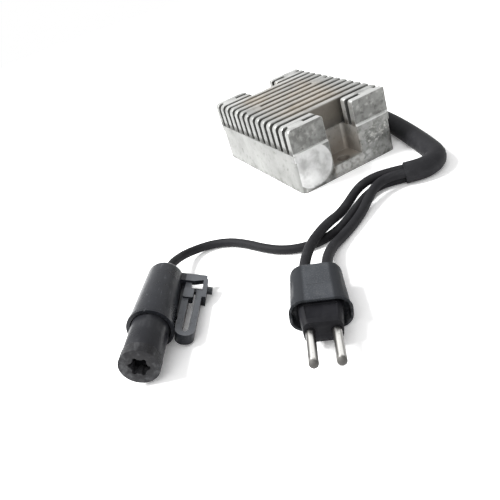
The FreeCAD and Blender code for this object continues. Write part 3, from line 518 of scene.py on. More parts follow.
class Nodes:
    """A node tree whose values are written as sums of signals."""

    def __init__(self, tree: bpy.types.NodeTree) -> None:
        """Empties the tree.

        Args:
            tree: The tree of a material or of the surroundings.
        """
        self.tree = tree
        tree.nodes.clear()

    def node(self, kind: str, settings: dict, inputs: dict, output: str | int) -> Signal:
        """Adds any node.

        Args:
            kind: The node's type.
            settings: Its settings, set before its sockets.
            inputs: Values or signals by the socket's name or number.
            output: The name or number of the wanted output.

        Returns:
            That output.
        """
        node = self.tree.nodes.new(kind)
        for key, value in settings.items():
            setattr(node, key, value)
        for key, value in inputs.items():
            if isinstance(value, Signal):
                self.tree.links.new(value.socket, node.inputs[key])
            elif isinstance(value, tuple) and len(value) == 3 and node.inputs[key].type == "RGBA":
                node.inputs[key].default_value = (*value, 1.0)
            else:
                node.inputs[key].default_value = value
        return Signal(self, node.outputs[output])

    def shown(self) -> Signal:
        """Marks the rays that show a surface, straight, in a mirror or through glass.

        Returns:
            1 for those rays, and 0 for the ones that only bring its light to others.
        """
        camera, glossy, through = (
            self.node("ShaderNodeLightPath", {}, {}, f"Is {kind} Ray")
            for kind in ("Camera", "Glossy", "Transmission")
        )
        return camera.most(glossy).most(through)

    def close(self, shader: Signal, kind: str = "ShaderNodeOutputMaterial") -> None:
        """Links a shader to the tree's output.

        Args:
            shader: The shader.
            kind: The output node's type.
        """
        output = self.tree.nodes.new(kind)
        self.tree.links.new(shader.socket, output.inputs["Surface"])


class Graph(Nodes):
    """A material's node tree, with the few operations that the finishes are written in."""

    def __init__(self, name: str, place: Place = Place()) -> None:
        """Starts an empty material.

        Args:
            name: The material's name.
            place: The frame that its patterns lie in.
        """
        self.material = bpy.data.materials.new(name)
        self.material.use_nodes = True
        super().__init__(self.material.node_tree)
        source = self.node("ShaderNodeTexCoord", {}, {}, "Object")
        corner = (place.x * MM, place.y * MM, place.z * MM)
        inputs = {"Vector": source, "Location": corner, "Rotation": place.turn(), "Scale": (MM, MM, MM)}
        self.spot = self.node("ShaderNodeMapping", {"vector_type": "TEXTURE"}, inputs, "Vector")
        self.x, self.y, self.z = self.parts(self.spot)

    def parts(self, vector: Signal) -> list[Signal]:
        """Splits a vector.

        Args:
            vector: The vector.

        Returns:
            Its parts along X, Y and Z.
        """
        return [self.node("ShaderNodeSeparateXYZ", {}, {0: vector}, name) for name in "XYZ"]

    def facing(self) -> list[Signal]:
        """Says which way the surface faces.

        Returns:
            The parts of its true normal along X, Y and Z.
        """
        return self.parts(self.node("ShaderNodeNewGeometry", {}, {}, "True Normal"))

    def noise(
        self, size: float, detail: float = 3.0, stretch: Point = (1.0, 1.0, 1.0), shift: float = 0.0
    ) -> Signal:
        """Adds soft noise.

        Args:
            size: The size of its features in millimetres.
            detail: How many finer layers it has.
            stretch: How much longer they are along X, Y and Z.
            shift: How far the pattern is moved, so that two of one size differ.

        Returns:
            The noise, from 0 to 1 about 0.5.
        """
        scale = tuple(1.0 / (size * part) for part in stretch)
        inputs = {"Vector": self.spot, "Scale": scale, "Location": (shift, shift, shift)}
        vector = self.node("ShaderNodeMapping", {}, inputs, "Vector")
        settings = {"noise_dimensions": "3D"}
        values = {"Vector": vector, "Scale": 1.0, "Detail": detail, "Roughness": 0.55}
        return self.node("ShaderNodeTexNoise", settings, values, "Fac")

    def pits(self, size: float) -> Signal:
        """Scatters points.

        Args:
            size: Their spacing in millimetres.

        Returns:
            The distance to the nearest point, in units of the spacing.
        """
        inputs = {"Vector": self.spot, "Scale": 1.0 / size, "Randomness": 1.0}
        return self.node("ShaderNodeTexVoronoi", {"feature": "F1"}, inputs, "Distance")

    def blend(self, mask: Signal | float, first: Signal | Colour, second: Signal | Colour) -> Signal:
        """Mixes two colours by a mask.

        Args:
            mask: 0 gives the first colour and 1 the second.
            first: A colour.
            second: A colour.

        Returns:
            The mixed colour.
        """
        settings = {"data_type": "RGBA", "blend_type": "MIX"}
        return self.node("ShaderNodeMix", settings, {0: mask, 6: first, 7: second}, 2)

    def edges(self, width: float) -> Signal:
        """Finds the edges, from how much a rounded normal leaves the true one.

        Args:
            width: The reach of the mask in millimetres.

        Returns:
            About 0 on flat faces and up to 1 on edges and in corners.
        """
        rounded = self.node("ShaderNodeBevel", {"samples": 6}, {"Radius": width * MM}, "Normal")
        true = self.node("ShaderNodeNewGeometry", {}, {}, "Normal")
        both = {0: rounded, 1: true}
        agree = self.node("ShaderNodeVectorMath", {"operation": "DOT_PRODUCT"}, both, "Value")
        return (1.0 - agree).fade(0.02, 0.3)

    def finish(
        self,
        colour: Signal | Colour,
        roughness: Signal | float,
        metallic: Signal | float = 0.0,
        bump: Signal | None = None,
        height: float = 0.05,
        **fixed: float,
    ) -> bpy.types.Material:
        """Closes the material with one shader.

        Args:
            colour: The base colour.
            roughness: The roughness.
            metallic: How metallic it is.
            bump: The relief, from 0 to 1.
            height: The height of the relief in millimetres.
            fixed: Other sockets that are the same all over, with underscores for spaces.

        Returns:
            The material.
        """
        inputs: dict = {"Base Color": colour, "Roughness": roughness, "Metallic": metallic}
        if bump is not None:
            relief = {"Height": bump, "Distance": height * MM, "Strength": 1.0}
            inputs["Normal"] = self.node("ShaderNodeBump", {}, relief, "Normal")
        inputs.update({key.replace("_", " "): value for key, value in fixed.items()})
        shader = self.node("ShaderNodeBsdfPrincipled", {}, inputs, "BSDF")
        self.close(shader)
        return self.material


@dataclass(frozen=True)
class CastFinish:
    """Sand-grey cast aluminium with bright edges, brown stains, white oxide, painted shade and painted
    highlights.
    """

    grey: Colour = (0.23, 0.233, 0.225)
    shade: Colour = (0.070, 0.070, 0.064)
    dark: Colour = (0.030, 0.030, 0.028)
    bright: Colour = (0.56, 0.565, 0.555)
    brown: Colour = (0.335, 0.287, 0.222)
    mud: Colour = (0.265, 0.23, 0.195)
    oxide: Colour = (0.58, 0.58, 0.55)
    fin_foot: float = 22.0
    fin_top: float = 36.0
    half_length: float = 30.5
    half_width: float = 46.5
    ledge: float = 23.0
    notch_half: float = 9.25
    notch_wall: float = 32.2
    ground: tuple[float, float, float] = (-21.5, 13.0, 12.0)

    def material(self) -> bpy.types.Material:
        """Builds the casting's material.

        Returns:
            The material.
        """
        g = Graph("cast_aluminium")
        cloud, patch = g.noise(11.0, 5.0), g.noise(26.0, 4.0, shift=7.0)
        grain, speck = g.noise(0.9, 4.0, shift=3.0), g.noise(2.6, 6.0, shift=11.0)
        edge = g.edges(0.55)
        colour = g.blend(cloud.fade(0.36, 0.64), self.grey, tuple(1.28 * part for part in self.grey))
        colour = g.blend(speck.fade(0.57, 0.72) * 0.55, colour, self.shade)
        # Painted shade: the two sides below the ledge are darkened evenly, with paler blotches laid over it.
        side_face = abs(g.x).fade(self.half_length - 0.9, self.half_length - 0.3)
        lower = g.z.fade(self.ledge + 0.6, self.ledge - 1.0)
        colour = g.blend(side_face * lower * 0.26, colour, self.shade)
        colour = g.blend(side_face * lower * patch.fade(0.3, 0.62) * 0.13, colour, self.bright)
        # Painted shade: the fins' facing walls and the slot floors between them are darkened.
        inside = abs(g.y).fade(self.half_width - 1.2, self.half_width - 1.8)
        wall = abs(g.facing()[1]).fade(0.35, 0.75) * g.z.fade(self.fin_top - 0.35, self.fin_top - 0.9)
        floor = g.z.fade(self.fin_foot + 4.0, self.fin_foot + 1.5)
        slot = wall.most(floor) * inside * g.z.fade(self.fin_foot - 0.4, self.fin_foot - 0.1)
        colour = g.blend(slot * 0.88, colour, g.blend(cloud, self.dark, self.shade))
        colour = self._stains(g, colour, cloud, patch)
        colour = self._front(g, colour, cloud, speck)
        # Bright edges: partly worn metal, partly a painted highlight along the edges.
        edge_wear_and_highlight = edge * speck.fade(0.24, 0.44)
        colour = g.blend(edge_wear_and_highlight * 0.9, colour, self.bright)
        # Painted highlight: a bright band along the bevelled top edge of the ledge, where the light falls.
        band = g.z.fade(self.ledge - 1.3, self.ledge - 0.9) * g.z.fade(self.ledge + 0.15, self.ledge + 0.02)
        band = band * abs(g.y).fade(self.half_width - 1.3, self.half_width - 1.0)
        colour = g.blend(band * cloud.fade(0.2, 0.5) * 0.85, colour, self.bright)
        # Painted highlight: the fin tops are lightened, more on the outer fins than in the middle.
        lit_fin_tops = g.z.fade(self.fin_top - 0.35, self.fin_top - 0.08)
        outer = abs(g.y + 4.0).fade(22.0, 38.0) * 0.45 + 0.22
        colour = g.blend(lit_fin_tops * cloud.fade(0.28, 0.5) * outer, colour, self.bright)
        rough = 0.52 - edge_wear_and_highlight * 0.2 - lit_fin_tops * 0.08 + (speck - 0.5) * 0.25
        relief = grain * 0.6 + speck * 0.8 - g.pits(1.9).fade(0.24, 0.0) * 0.7
        return g.finish(colour, rough, 0.62, relief, 0.09, Specular_IOR_Level=0.4)

    def _stains(self, g: Graph, colour: Signal, cloud: Signal, patch: Signal) -> Signal:
        """Adds the brown tint on the fins' middle and the dirt in the notches.

        Args:
            g: The material's graph.
            colour: The colour so far.
            cloud: Medium noise.
            patch: Coarse noise.

        Returns:
            The colour with both.
        """
        streak = g.noise(5.0, 4.0, (5.0, 1.0, 1.0), 2.0)
        middle = abs(g.x + 1.0).fade(27.0, 12.0) * abs(g.y - 2.0).fade(41.0, 20.0) * g.z.fade(22.5, 27.0)
        tint = middle * (streak * 0.7 + patch * 0.6).fade(0.38, 0.74)
        colour = g.blend(tint * 0.78, colour, self.brown)
        pocket = abs(g.x).fade(self.notch_half + 0.4, self.notch_half - 0.4)
        pocket = pocket * abs(g.y).fade(self.notch_wall - 0.5, self.notch_wall - 0.1)
        foot = g.z.fade(27.0, 9.0) * abs(g.y).fade(46.4, 41.0)
        grime = pocket * (foot * 0.55 + 0.25) * cloud.fade(0.22, 0.6)
        colour = g.blend(grime, colour, self.mud)
        wall = abs(abs(g.x) - self.notch_half).fade(0.6, 0.2) * abs(g.y).fade(self.notch_wall, 34.0)
        return g.blend(wall * g.z.fade(30.0, 12.0) * 0.4, colour, self.mud)

    def _front(self, g: Graph, colour: Signal, cloud: Signal, speck: Signal) -> Signal:
        """Adds the ground round patch, the white oxide and painted shade above the ledge on the two end
        faces.

        Args:
            g: The material's graph.
            colour: The colour so far.
            cloud: Medium noise.
            speck: Fine noise.

        Returns:
            The colour with these marks.
        """
        end = abs(g.y).fade(self.half_width - 1.35, self.half_width - 1.1)
        lower = g.z.fade(self.ledge + 0.1, self.ledge - 0.3)
        across, up = g.x - self.ground[0], g.z - self.ground[1]
        away = across * across + up * up
        disc = away.fade(self.ground[2] ** 2 * 1.06, self.ground[2] ** 2 * 0.94) * end * lower
        disc = disc * g.y.fade(0.0, -1.0)
        # Painted shade: the end faces above the ledge are darkened.
        upper = g.z.fade(self.ledge + 0.2, self.ledge + 0.6) * end
        colour = g.blend(upper * 0.34, colour, (0.075, 0.075, 0.069))
        polished = g.blend(cloud.fade(0.35, 0.6), (0.36, 0.36, 0.355), (0.64, 0.645, 0.64))
        colour = g.blend(disc * 0.94, colour, polished)
        mottle = g.noise(4.0, 6.0, shift=43.0).fade(0.55, 0.66) * end * (1.0 - disc)
        colour = g.blend(mottle * 0.22, colour, self.oxide)
        dark = g.noise(4.2, 5.0, shift=31.0).fade(0.44, 0.62) * end * (1.0 - disc)
        colour = g.blend(dark * 0.5, colour, self.shade)
        spots = g.noise(1.7, 6.0, shift=19.0).fade(0.52, 0.62) * g.z.fade(20.0, 16.5) * g.z.fade(8.0, 11.0)
        bloom = spots * g.x.fade(11.0, 15.0) * end
        colour = g.blend(bloom * 0.72, colour, self.oxide)
        flange = abs(g.x - 3.0).fade(14.0, 10.0) * g.z.fade(7.4, 6.4) * end
        colour = g.blend(flange * speck.fade(0.34, 0.6) * 0.62, colour, self.bright)
        ring = away.fade(self.ground[2] ** 2 * 1.08, self.ground[2] ** 2 * 1.2)
        ring = ring * away.fade(self.ground[2] ** 2 * 1.75, self.ground[2] ** 2 * 1.4)
        stain = ring * g.x.fade(-14.0, -10.0) * g.z.fade(17.0, 12.0) * end
        colour = g.blend(stain * speck.fade(0.34, 0.5) * 0.85, colour, (0.05, 0.043, 0.036))
        rim = g.z.fade(3.4, 0.6) * speck.fade(0.46, 0.62)
        return g.blend(rim * 0.6, colour, self.shade)


@dataclass(frozen=True)
class RubberFinish:
    """Dull rubber with dust and fine scuffs."""

    name: str
    base: Colour
    dust: Colour = (0.085, 0.086, 0.09)
    roughness: float = 0.55
    grain: float = 0.6
    relief: float = 0.03
    amount: float = 0.35
    band: float = 0.0
    seam: float = 0.0

    def material(self, place: Place = Place()) -> bpy.types.Material:
        """Builds the material, with painted shade on the flanks beside a pale flat band, and a mould line,
        where the part has them.

        Args:
            place: The frame that its patterns lie in.

        Returns:
            The material.
        """
        g = Graph(self.name, place)
        cloud, fine = g.noise(9.0, 4.0), g.noise(self.grain, 4.0, shift=5.0)
        scuff = g.noise(2.2, 5.0, (3.5, 1.0, 1.0), 9.0)
        dust = (cloud * 0.6 + scuff * 0.5).fade(0.52, 0.78)
        colour = g.blend(cloud.fade(0.3, 0.7), self.base, tuple(1.25 * part for part in self.base))
        colour = g.blend(dust * self.amount, colour, self.dust)
        colour = g.blend(g.edges(0.35) * fine.fade(0.35, 0.6) * 0.35, colour, self.dust)
        relief, worn = fine + scuff * 0.5, dust * 0.12
        if self.band:
            # Painted shade: the rounded flanks beside the flat band are darkened; the band stays pale.
            shaded_flank = abs(g.y).fade(self.band - 0.5, self.band + 0.9)
            colour = g.blend(shaded_flank * 0.8, colour, tuple(0.42 * part for part in self.base))
            flash = abs(g.y).fade(self.band + 3.6, self.band + 4.4) * scuff.fade(0.42, 0.6)
            colour = g.blend(flash * 0.6, colour, self.dust)
            grains = (1.0 - shaded_flank) * g.noise(0.55, 3.0, shift=27.0).fade(0.5, 0.66)
            colour = g.blend(grains * 0.5, colour, self.dust)
            line = abs(g.x - self.seam).fade(0.16, 0.05) * abs(g.y + 0.8).fade(3.6, 3.0)
            colour = g.blend(line * 0.8, colour, (0.004, 0.004, 0.005))
            relief = relief - line * 1.5
            worn = worn + shaded_flank * 0.3
        rough = (cloud - 0.5) * 0.2 + worn + self.roughness
        return g.finish(colour, rough, 0.0, relief, self.relief, Specular_IOR_Level=0.14)


@dataclass(frozen=True)
class MouldedFinish:
    """Moulded plastic with a satin skin, long scratches, pale worn edges and painted light on the upward
    faces of its outer parts.
    """

    name: str
    base: Colour
    worn: Colour = (0.11, 0.115, 0.125)
    roughness: float = 0.34
    scratches: float = 0.5
    shine: float = 0.2
    arms: float = 9.4

    def material(self, place: Place = Place()) -> bpy.types.Material:
        """Builds the material.

        Args:
            place: The frame that its scratches run along.

        Returns:
            The material.
        """
        g = Graph(self.name, place)
        cloud, fine = g.noise(7.0, 4.0), g.noise(0.45, 3.0, shift=3.0)
        line = g.noise(0.55, 3.0, (16.0, 1.0, 1.0), 13.0).fade(0.60, 0.68)
        chip = g.noise(1.5, 6.0, shift=21.0).fade(0.63, 0.70)
        colour = g.blend(cloud.fade(0.3, 0.7), self.base, tuple(1.3 * part for part in self.base))
        colour = g.blend(line * cloud.fade(0.42, 0.6) * self.scratches, colour, self.worn)
        colour = g.blend(chip * 0.4, colour, self.worn)
        colour = g.blend(g.edges(0.3) * 0.4, colour, self.worn)
        # Painted light: upward faces beyond the arms' line, on the latch frame and wing, are lightened.
        top = g.facing()[2].fade(0.72, 0.88) * g.y.fade(self.arms - 0.2, self.arms + 0.2)
        colour = g.blend(top * (0.55 + cloud * 0.4), colour, self.worn)
        rough = self.roughness + (cloud - 0.5) * 0.22 + line * 0.18 + chip * 0.2
        return g.finish(colour, rough, 0.0, fine + line * -0.6, 0.012, Specular_IOR_Level=self.shine)


@dataclass(frozen=True)
class PinFinish:
    """Plated steel pin with brushed rings, darker at the tip and the root, and painted shade along its
    flanks.
    """

    steel: Colour = (0.88, 0.87, 0.84)
    dark: Colour = (0.050, 0.047, 0.044)
    root: float = 34.6
    tip: float = 51.9
    spread: float = 4.65

    def material(self, place: Place) -> bpy.types.Material:
        """Builds the material along the plug's own X axis.

        Args:
            place: The plug's frame.

        Returns:
            The material.
        """
        g = Graph("pin_steel", place)
        streak = g.noise(0.5, 3.0, (9.0, 1.0, 1.0))
        spot = g.noise(1.2, 5.0, shift=4.0)
        end = (g.x + (spot - 0.5) * 2.4).fade(self.tip - 3.4, self.tip - 1.4)
        foot = (g.x + (spot - 0.5) * 1.6).fade(self.root + 1.8, self.root + 0.4)
        # Painted shade: the pin's flanks on either side of its bright middle are darkened.
        shaded_flank = abs(abs(g.y) - self.spread).fade(0.45, 1.1) * 0.85
        grime = spot.fade(0.55, 0.70) * 0.35
        colour = g.blend(grime.most(end * 0.92).most(foot * 0.8).most(shaded_flank), self.steel, self.dark)
        rough = 0.24 + streak * 0.16 + end * 0.45
        return g.finish(colour, rough, 1.0, streak, 0.008)


@dataclass(frozen=True)
class PlainFinish:
    """A small part's finish: two close colours, a band or cap of a second material."""

    name: str
    base: Colour
    second: Colour
    roughness: float = 0.45
    metallic: float = 0.0
    second_metallic: float = 0.0
    grain: float = 1.2
    relief: float = 0.02

    def material(self, mask: Callable[[Graph], Signal] | None = None) -> bpy.types.Material:
        """Builds the material.

        Args:
            mask: Takes the graph and says where the second colour lies.

        Returns:
            The material.
        """
        g = Graph(self.name)
        cloud, fine = g.noise(5.0, 3.0), g.noise(self.grain, 4.0, shift=6.0)
        colour = g.blend(cloud.fade(0.3, 0.7) * 0.6, self.base, tuple(0.7 * part for part in self.base))
        metal: Signal | float = self.metallic
        if mask is not None:
            where = mask(g)
            colour = g.blend(where, colour, self.second)
            metal = where * (self.second_metallic - self.metallic) + self.metallic
        rough = self.roughness + (fine - 0.5) * 0.22
        return g.finish(colour, rough, metal, fine, self.relief)


def dress(piece: Piece, material: bpy.types.Material) -> Piece:
    """Gives a piece one material.

    Args:
        piece: A new piece or a node of the frame.
        material: The finish.

    Returns:
        The piece.
    """
    if not piece.data.materials:
        piece.data.materials.append(material)
    for index in range(len(piece.data.materials)):
        piece.data.materials[index] = material
    return piece


def set_down(pieces: dict[str, tuple[Piece, bpy.types.Material, str]], place: Place) -> dict[str, Piece]:
    """Sets finished pieces down, dresses them and lets each one stand for its node.

    Args:
        pieces: Each piece with its material and slot, by the node that it replaces; the slot is not used.
        place: Where their common frame lies.

    Returns:
        The pieces by node.
    """
    made = {}
    for node, (piece, finish, slot) in pieces.items():
        Bench.settle(piece, place)
        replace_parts(dress(piece, finish), node)
        made[node] = piece
    return made


@dataclass
class Casting:
    """The finned casting: slab, fins, lands, notches, bolt holes, recess and cable exit."""

    fins: int = 14
    pitch: float = 6.72
    thickness: float = 3.7
    length: float = 61.0
    width: float = 93.0
    height: float = 36.0
    slab: float = 23.0
    slot_floor: float = 22.0
    ledge: float = 0.97
    corner: float = 3.2
    fin_end: float = 2.8
    fin_exit_end: float = 0.7
    ledge_bevel: float = 0.85
    fin_tip: float = 3.43
    draft: float = 0.15
    notch: float = 18.5
    notch_floor: float = 6.7
    notch_corner: float = 2.4
    notch_mouth: float = 1.3
    bolt_y: float = 41.5
    bolt_radius: float = 3.6
    land_radius: float = 4.4
    land_x: float = 22.5
    land_slots: tuple[int, ...] = (0, 7, 12)
    recess: Point = (26.0, 28.475, 17.0)
    recess_corner: float = 3.0
    post_radius: float = 3.0
    post_y: float = 22.0
    board_top: float = 3.5
    exit_y: float = 2.0
    exit_z: float = 6.4
    exit_radius: float = 6.5
    soft: float = 0.32

    def fin_y(self, index: int) -> float:
        """Finds a fin's middle.

        Args:
            index: The fin, counted from the front.

        Returns:
            Its place along Y.
        """
        return (index - (self.fins - 1) / 2) * self.pitch

    def _fins(self) -> Piece:
        """Models one fin, repeats it, and adds the lands between some of them.

        Returns:
            The fins and lands as one piece that crosses itself.
        """
        half, end = self.thickness / 2, self.length / 2 - self.draft
        first = self.fin_y(0)
        fin = Bench.block("fin", (-end, first - half, self.slot_floor - 4), (end, first + half, self.height))
        Bench.scale_faces(
            fin,
            lambda middle, normal: middle.z > self.height - 0.1 and normal.z > 0.9,
            (1.0, self.fin_tip / self.thickness, 1.0),
            (0.0, first, self.height),
        )
        for side, radius in ((-1, self.fin_end), (1, self.fin_exit_end)):
            Bench.round_edges(
                fin,
                lambda middle, line: line.y > 0.9
                and middle.z > self.height - 0.1
                and middle.x * side > end - 0.1,
                radius,
                6,
            )
        comb = [fin] + [Bench.copy(fin, (0, self.pitch * index, 0)) for index in range(1, self.fins)]
        for slot in self.land_slots:
            y = self.fin_y(slot) + self.pitch / 2
            for side in (-1, 1):
                foot = (side * self.land_x, y, self.slot_floor - 3)
                depth = self.height - foot[2] - 0.12
                comb.append(Bench.rod("land", foot, Axis.Z, self.land_radius, depth, 40))
        return Bench.join(comb)

    def _notch(self, side: int) -> Piece:
        """Models the tool that cuts one notch and its bolt hole.

        Args:
            side: -1 for the front notch and 1 for the rear one.

        Returns:
            The tool.
        """
        half, outer = self.notch / 2, self.width / 2 + 2
        wall = abs(self.fin_y(2)) + self.thickness / 2 + 0.03
        low, high = sorted((side * wall, side * outer))
        lower = Bench.block("notch", (-half, low, self.notch_floor), (half, high, self.slot_floor + 0.05))
        Bench.round_edges(
            lower,
            lambda middle, line: line.z > 0.9 and abs(middle.y) < wall + 0.1,
            self.notch_corner,
            5,
        )
        upper = Bench.block("notch_top", (-half, low, self.slot_floor - 0.05), (half, high, self.height + 2))
        tool = Bench.combine(lower, upper, Cut.ADD)
        hole = Bench.rod("bolt_hole", (0, side * self.bolt_y, -2), Axis.Z, self.bolt_radius, 12, 56)
        return Bench.combine(tool, hole, Cut.ADD)

    def _recess(self) -> Piece:
        """Models the tool that cuts the potting recess and the cable exit.

        Returns:
            The tool.
        """
        x, y, top = self.recess
        tool = Bench.block("recess", (-x, -y, -2), (x, y, top))
        Bench.round_edges(tool, lambda middle, line: line.z > 0.9, self.recess_corner, 5)
        for side in (-1, 1):
            foot = (0, side * self.post_y, self.board_top)
            post = Bench.rod("post", foot, Axis.Z, self.post_radius, top - self.board_top + 3, 40)
            Bench.combine(tool, post, Cut.REMOVE)
        start = x - 1
        arch = Bench.rod("exit", (start, self.exit_y, self.exit_z), Axis.X, self.exit_radius, 8, 56)
        foot = Bench.block(
            "exit_foot",
            (start, self.exit_y - self.exit_radius, -2),
            (start + 8, self.exit_y + self.exit_radius, self.exit_z),
        )
        Bench.combine(arch, foot, Cut.ADD)
        return Bench.combine(tool, arch, Cut.ADD)

    def build(self) -> Piece:
        """Models the casting and lets it stand for its node.

        Returns:
            The dressed piece.
        """
        x, y = self.length / 2, self.width / 2
        body = Bench.block("casting", (-x, -y, 0), (x, y, self.slab))
        Bench.scale_faces(
            body,
            lambda middle, normal: normal.z > 0.9,
            (1 - self.draft / x, 1 - self.draft / y, 1.0),
            (0.0, 0.0, self.slab),
        )
        Bench.round_edges(body, lambda middle, line: line.z > 0.9, self.corner, 6)
        Bench.round_edges(
            body,
            lambda middle, line: line.x > 0.9 and middle.z > self.slab - 0.1,
            self.ledge_bevel,
            2,
        )
        floor = Bench.block(
            "slots",
            (-x - 1, self.fin_y(0), self.slot_floor),
            (x + 1, self.fin_y(self.fins - 1), self.slab + 1),
        )
        Bench.combine(body, floor, Cut.REMOVE)
        Bench.combine(body, self._fins(), Cut.ADD, own=True)
        for side in (-1, 1):
            Bench.combine(body, self._notch(side), Cut.REMOVE)
        Bench.combine(body, self._recess(), Cut.REMOVE)
        Bench.round_edges(
            body,
            lambda middle, line: line.y > 0.9
            and middle.z > self.height - 0.1
            and abs(abs(middle.x) - self.notch / 2) < 0.2,
            self.notch_mouth,
            3,
        )
        Bench.soften(body, self.soft, 2)
        Bench.settle(body, smooth=42.0)
        dress(body, CastFinish().material())
        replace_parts(body, "heatsink_housing")
        return body


@dataclass
class Cords:
    """The sleeve, the two stator cables and the output wire, along the source's routes."""

    sleeve_radius: float = 5.3
    cable_radius: float = 2.3
    wire_radius: float = 2.1
    mouth: Point = (7.7, -82.9, 5.4)
    mouth_heading: Point = (-0.86512, 0.50157, 0.0)
    spread: float = 2.45
    rise: float = 1.1
    drop: float = 2.95
    sleeve_route: tuple[Point, ...] = (
        (29.0, 2.0, 6.4), (36.5, 2.0, 6.4), (43.2, -2.4, 6.3), (46.2, -9.8, 6.1), (45.0, -23.5, 5.8),
        (41.4, -41.0, 5.5), (37.1, -57.2, 5.4), (33.2, -70.3, 5.4), (29.2, -82.0, 5.4), (22.6, -86.6, 5.4),
        (14.6, -86.9, 5.4), (7.7, -82.9, 5.4),
    )
    cable_a_route: tuple[Point, ...] = (
        (-5.8, -73.5, 6.0), (-14.6, -74.0, 4.9), (-24.4, -79.0, 3.0), (-33.6, -84.9, 3.3),
        (-42.4, -90.6, 5.9), (-51.0, -96.2, 7.3), (-60.4, -102.2, 7.3),
    )
    cable_b_route: tuple[Point, ...] = (
        (-4.0, -81.1, 6.5), (-10.2, -82.2, 5.9), (-16.4, -85.7, 4.6), (-24.4, -91.0, 2.9),
        (-33.4, -96.3, 2.4), (-43.6, -101.4, 2.5), (-53.6, -107.0, 3.9),
    )
    wire_route: tuple[Point, ...] = (
        (-5.2, -77.6, 2.3), (-13.1, -78.9, 2.2), (-22.3, -84.0, 2.2), (-31.8, -90.0, 2.2),
        (-41.5, -94.6, 2.2), (-51.3, -96.2, 2.2), (-60.6, -93.4, 2.2), (-67.9, -86.9, 2.2),
        (-72.6, -77.6, 2.2), (-76.2, -67.4, 2.2), (-81.2, -58.2, 2.2), (-89.2, -52.0, 2.3),
        (-98.8, -51.6, 3.6), (-106.7, -56.6, 6.4),
    )
    first_runs: tuple[float, float, float] = (7.5, 5.6, 6.5)

    def _start(self, spread: float, rise: float, run: float) -> list[Point]:
        """Finds a lead's first two points, straight out of the sleeve's mouth.

        Args:
            spread: How far the lead lies to the side of the mouth's middle.
            rise: How far it lies above the mouth's middle.
            run: How far it goes straight on.

        Returns:
            The two points, in millimetres.
        """
        side = (self.mouth_heading[1], -self.mouth_heading[0])
        x = self.mouth[0] + side[0] * spread
        y = self.mouth[1] + side[1] * spread
        z = self.mouth[2] + rise
        ahead = (x + self.mouth_heading[0] * run, y + self.mouth_heading[1] * run, z)
        return [(x, y, z), ahead]

    @staticmethod
    def strand(name: str, points: Sequence[Point], radius: float, node: str) -> Piece:
        """Makes one cord as a smooth spline and lets it stand for its tube.

        Args:
            name: The cord's name.
            points: Its route's points in millimetres.
            radius: Its radius in millimetres.
            node: The node that it replaces.

        Returns:
            The cord.
        """
        curve = bpy.data.curves.new(name, "CURVE")
        curve.dimensions = "3D"
        curve.resolution_u = 10
        curve.bevel_depth = 1.0
        curve.bevel_resolution = 7
        curve.use_fill_caps = True
        spline = curve.splines.new("NURBS")
        spline.points.add(len(points) - 1)
        for knot, point in zip(spline.points, points):
            knot.co = (*[part * MM for part in point], 1.0)
            knot.radius = radius * MM
        spline.order_u = 3
        spline.use_endpoint_u = True
        piece = bpy.data.objects.new(name, curve)
        bpy.context.scene.collection.objects.link(piece)
        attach(piece, "root")
        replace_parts(piece, node)
        return piece

    def build(self, plug: "Plug", connector: "Connector") -> dict[str, Piece]:
        """Makes the four cords.

        Args:
            plug: The plug that the cables run into.
            connector: The connector that the wire runs into.

        Returns:
            The cords by name.
        """
        a = self._start(self.spread, self.rise, self.first_runs[0])
        b = self._start(-self.spread, self.rise, self.first_runs[1])
        w = self._start(0.0, -self.drop, self.first_runs[2])
        a += [*self.cable_a_route, *plug.cable_points(-1)]
        b += [*self.cable_b_route, *plug.cable_points(1)]
        w += [*self.wire_route, *connector.wire_points()]
        made = {
            "sleeve": self.strand("sleeve", self.sleeve_route, self.sleeve_radius, "cable_sleeve"),
            "cable_a": self.strand("cable_a", a, self.cable_radius, "stator_cable_a"),
            "cable_b": self.strand("cable_b", b, self.cable_radius, "stator_cable_b"),
            "wire": self.strand("wire", w, self.wire_radius, "output_wire"),
        }
        thick = RubberFinish("sleeve_rubber", (0.011, 0.011, 0.0125), roughness=0.66, grain=0.5, amount=0.2)
        thin = RubberFinish("cable_rubber", (0.010, 0.010, 0.0115), roughness=0.68, grain=0.35, amount=0.16)
        sleeve, cable = thick.material(), thin.material()
        for name, piece in made.items():
            dress(piece, sleeve if name == "sleeve" else cable)
        return made


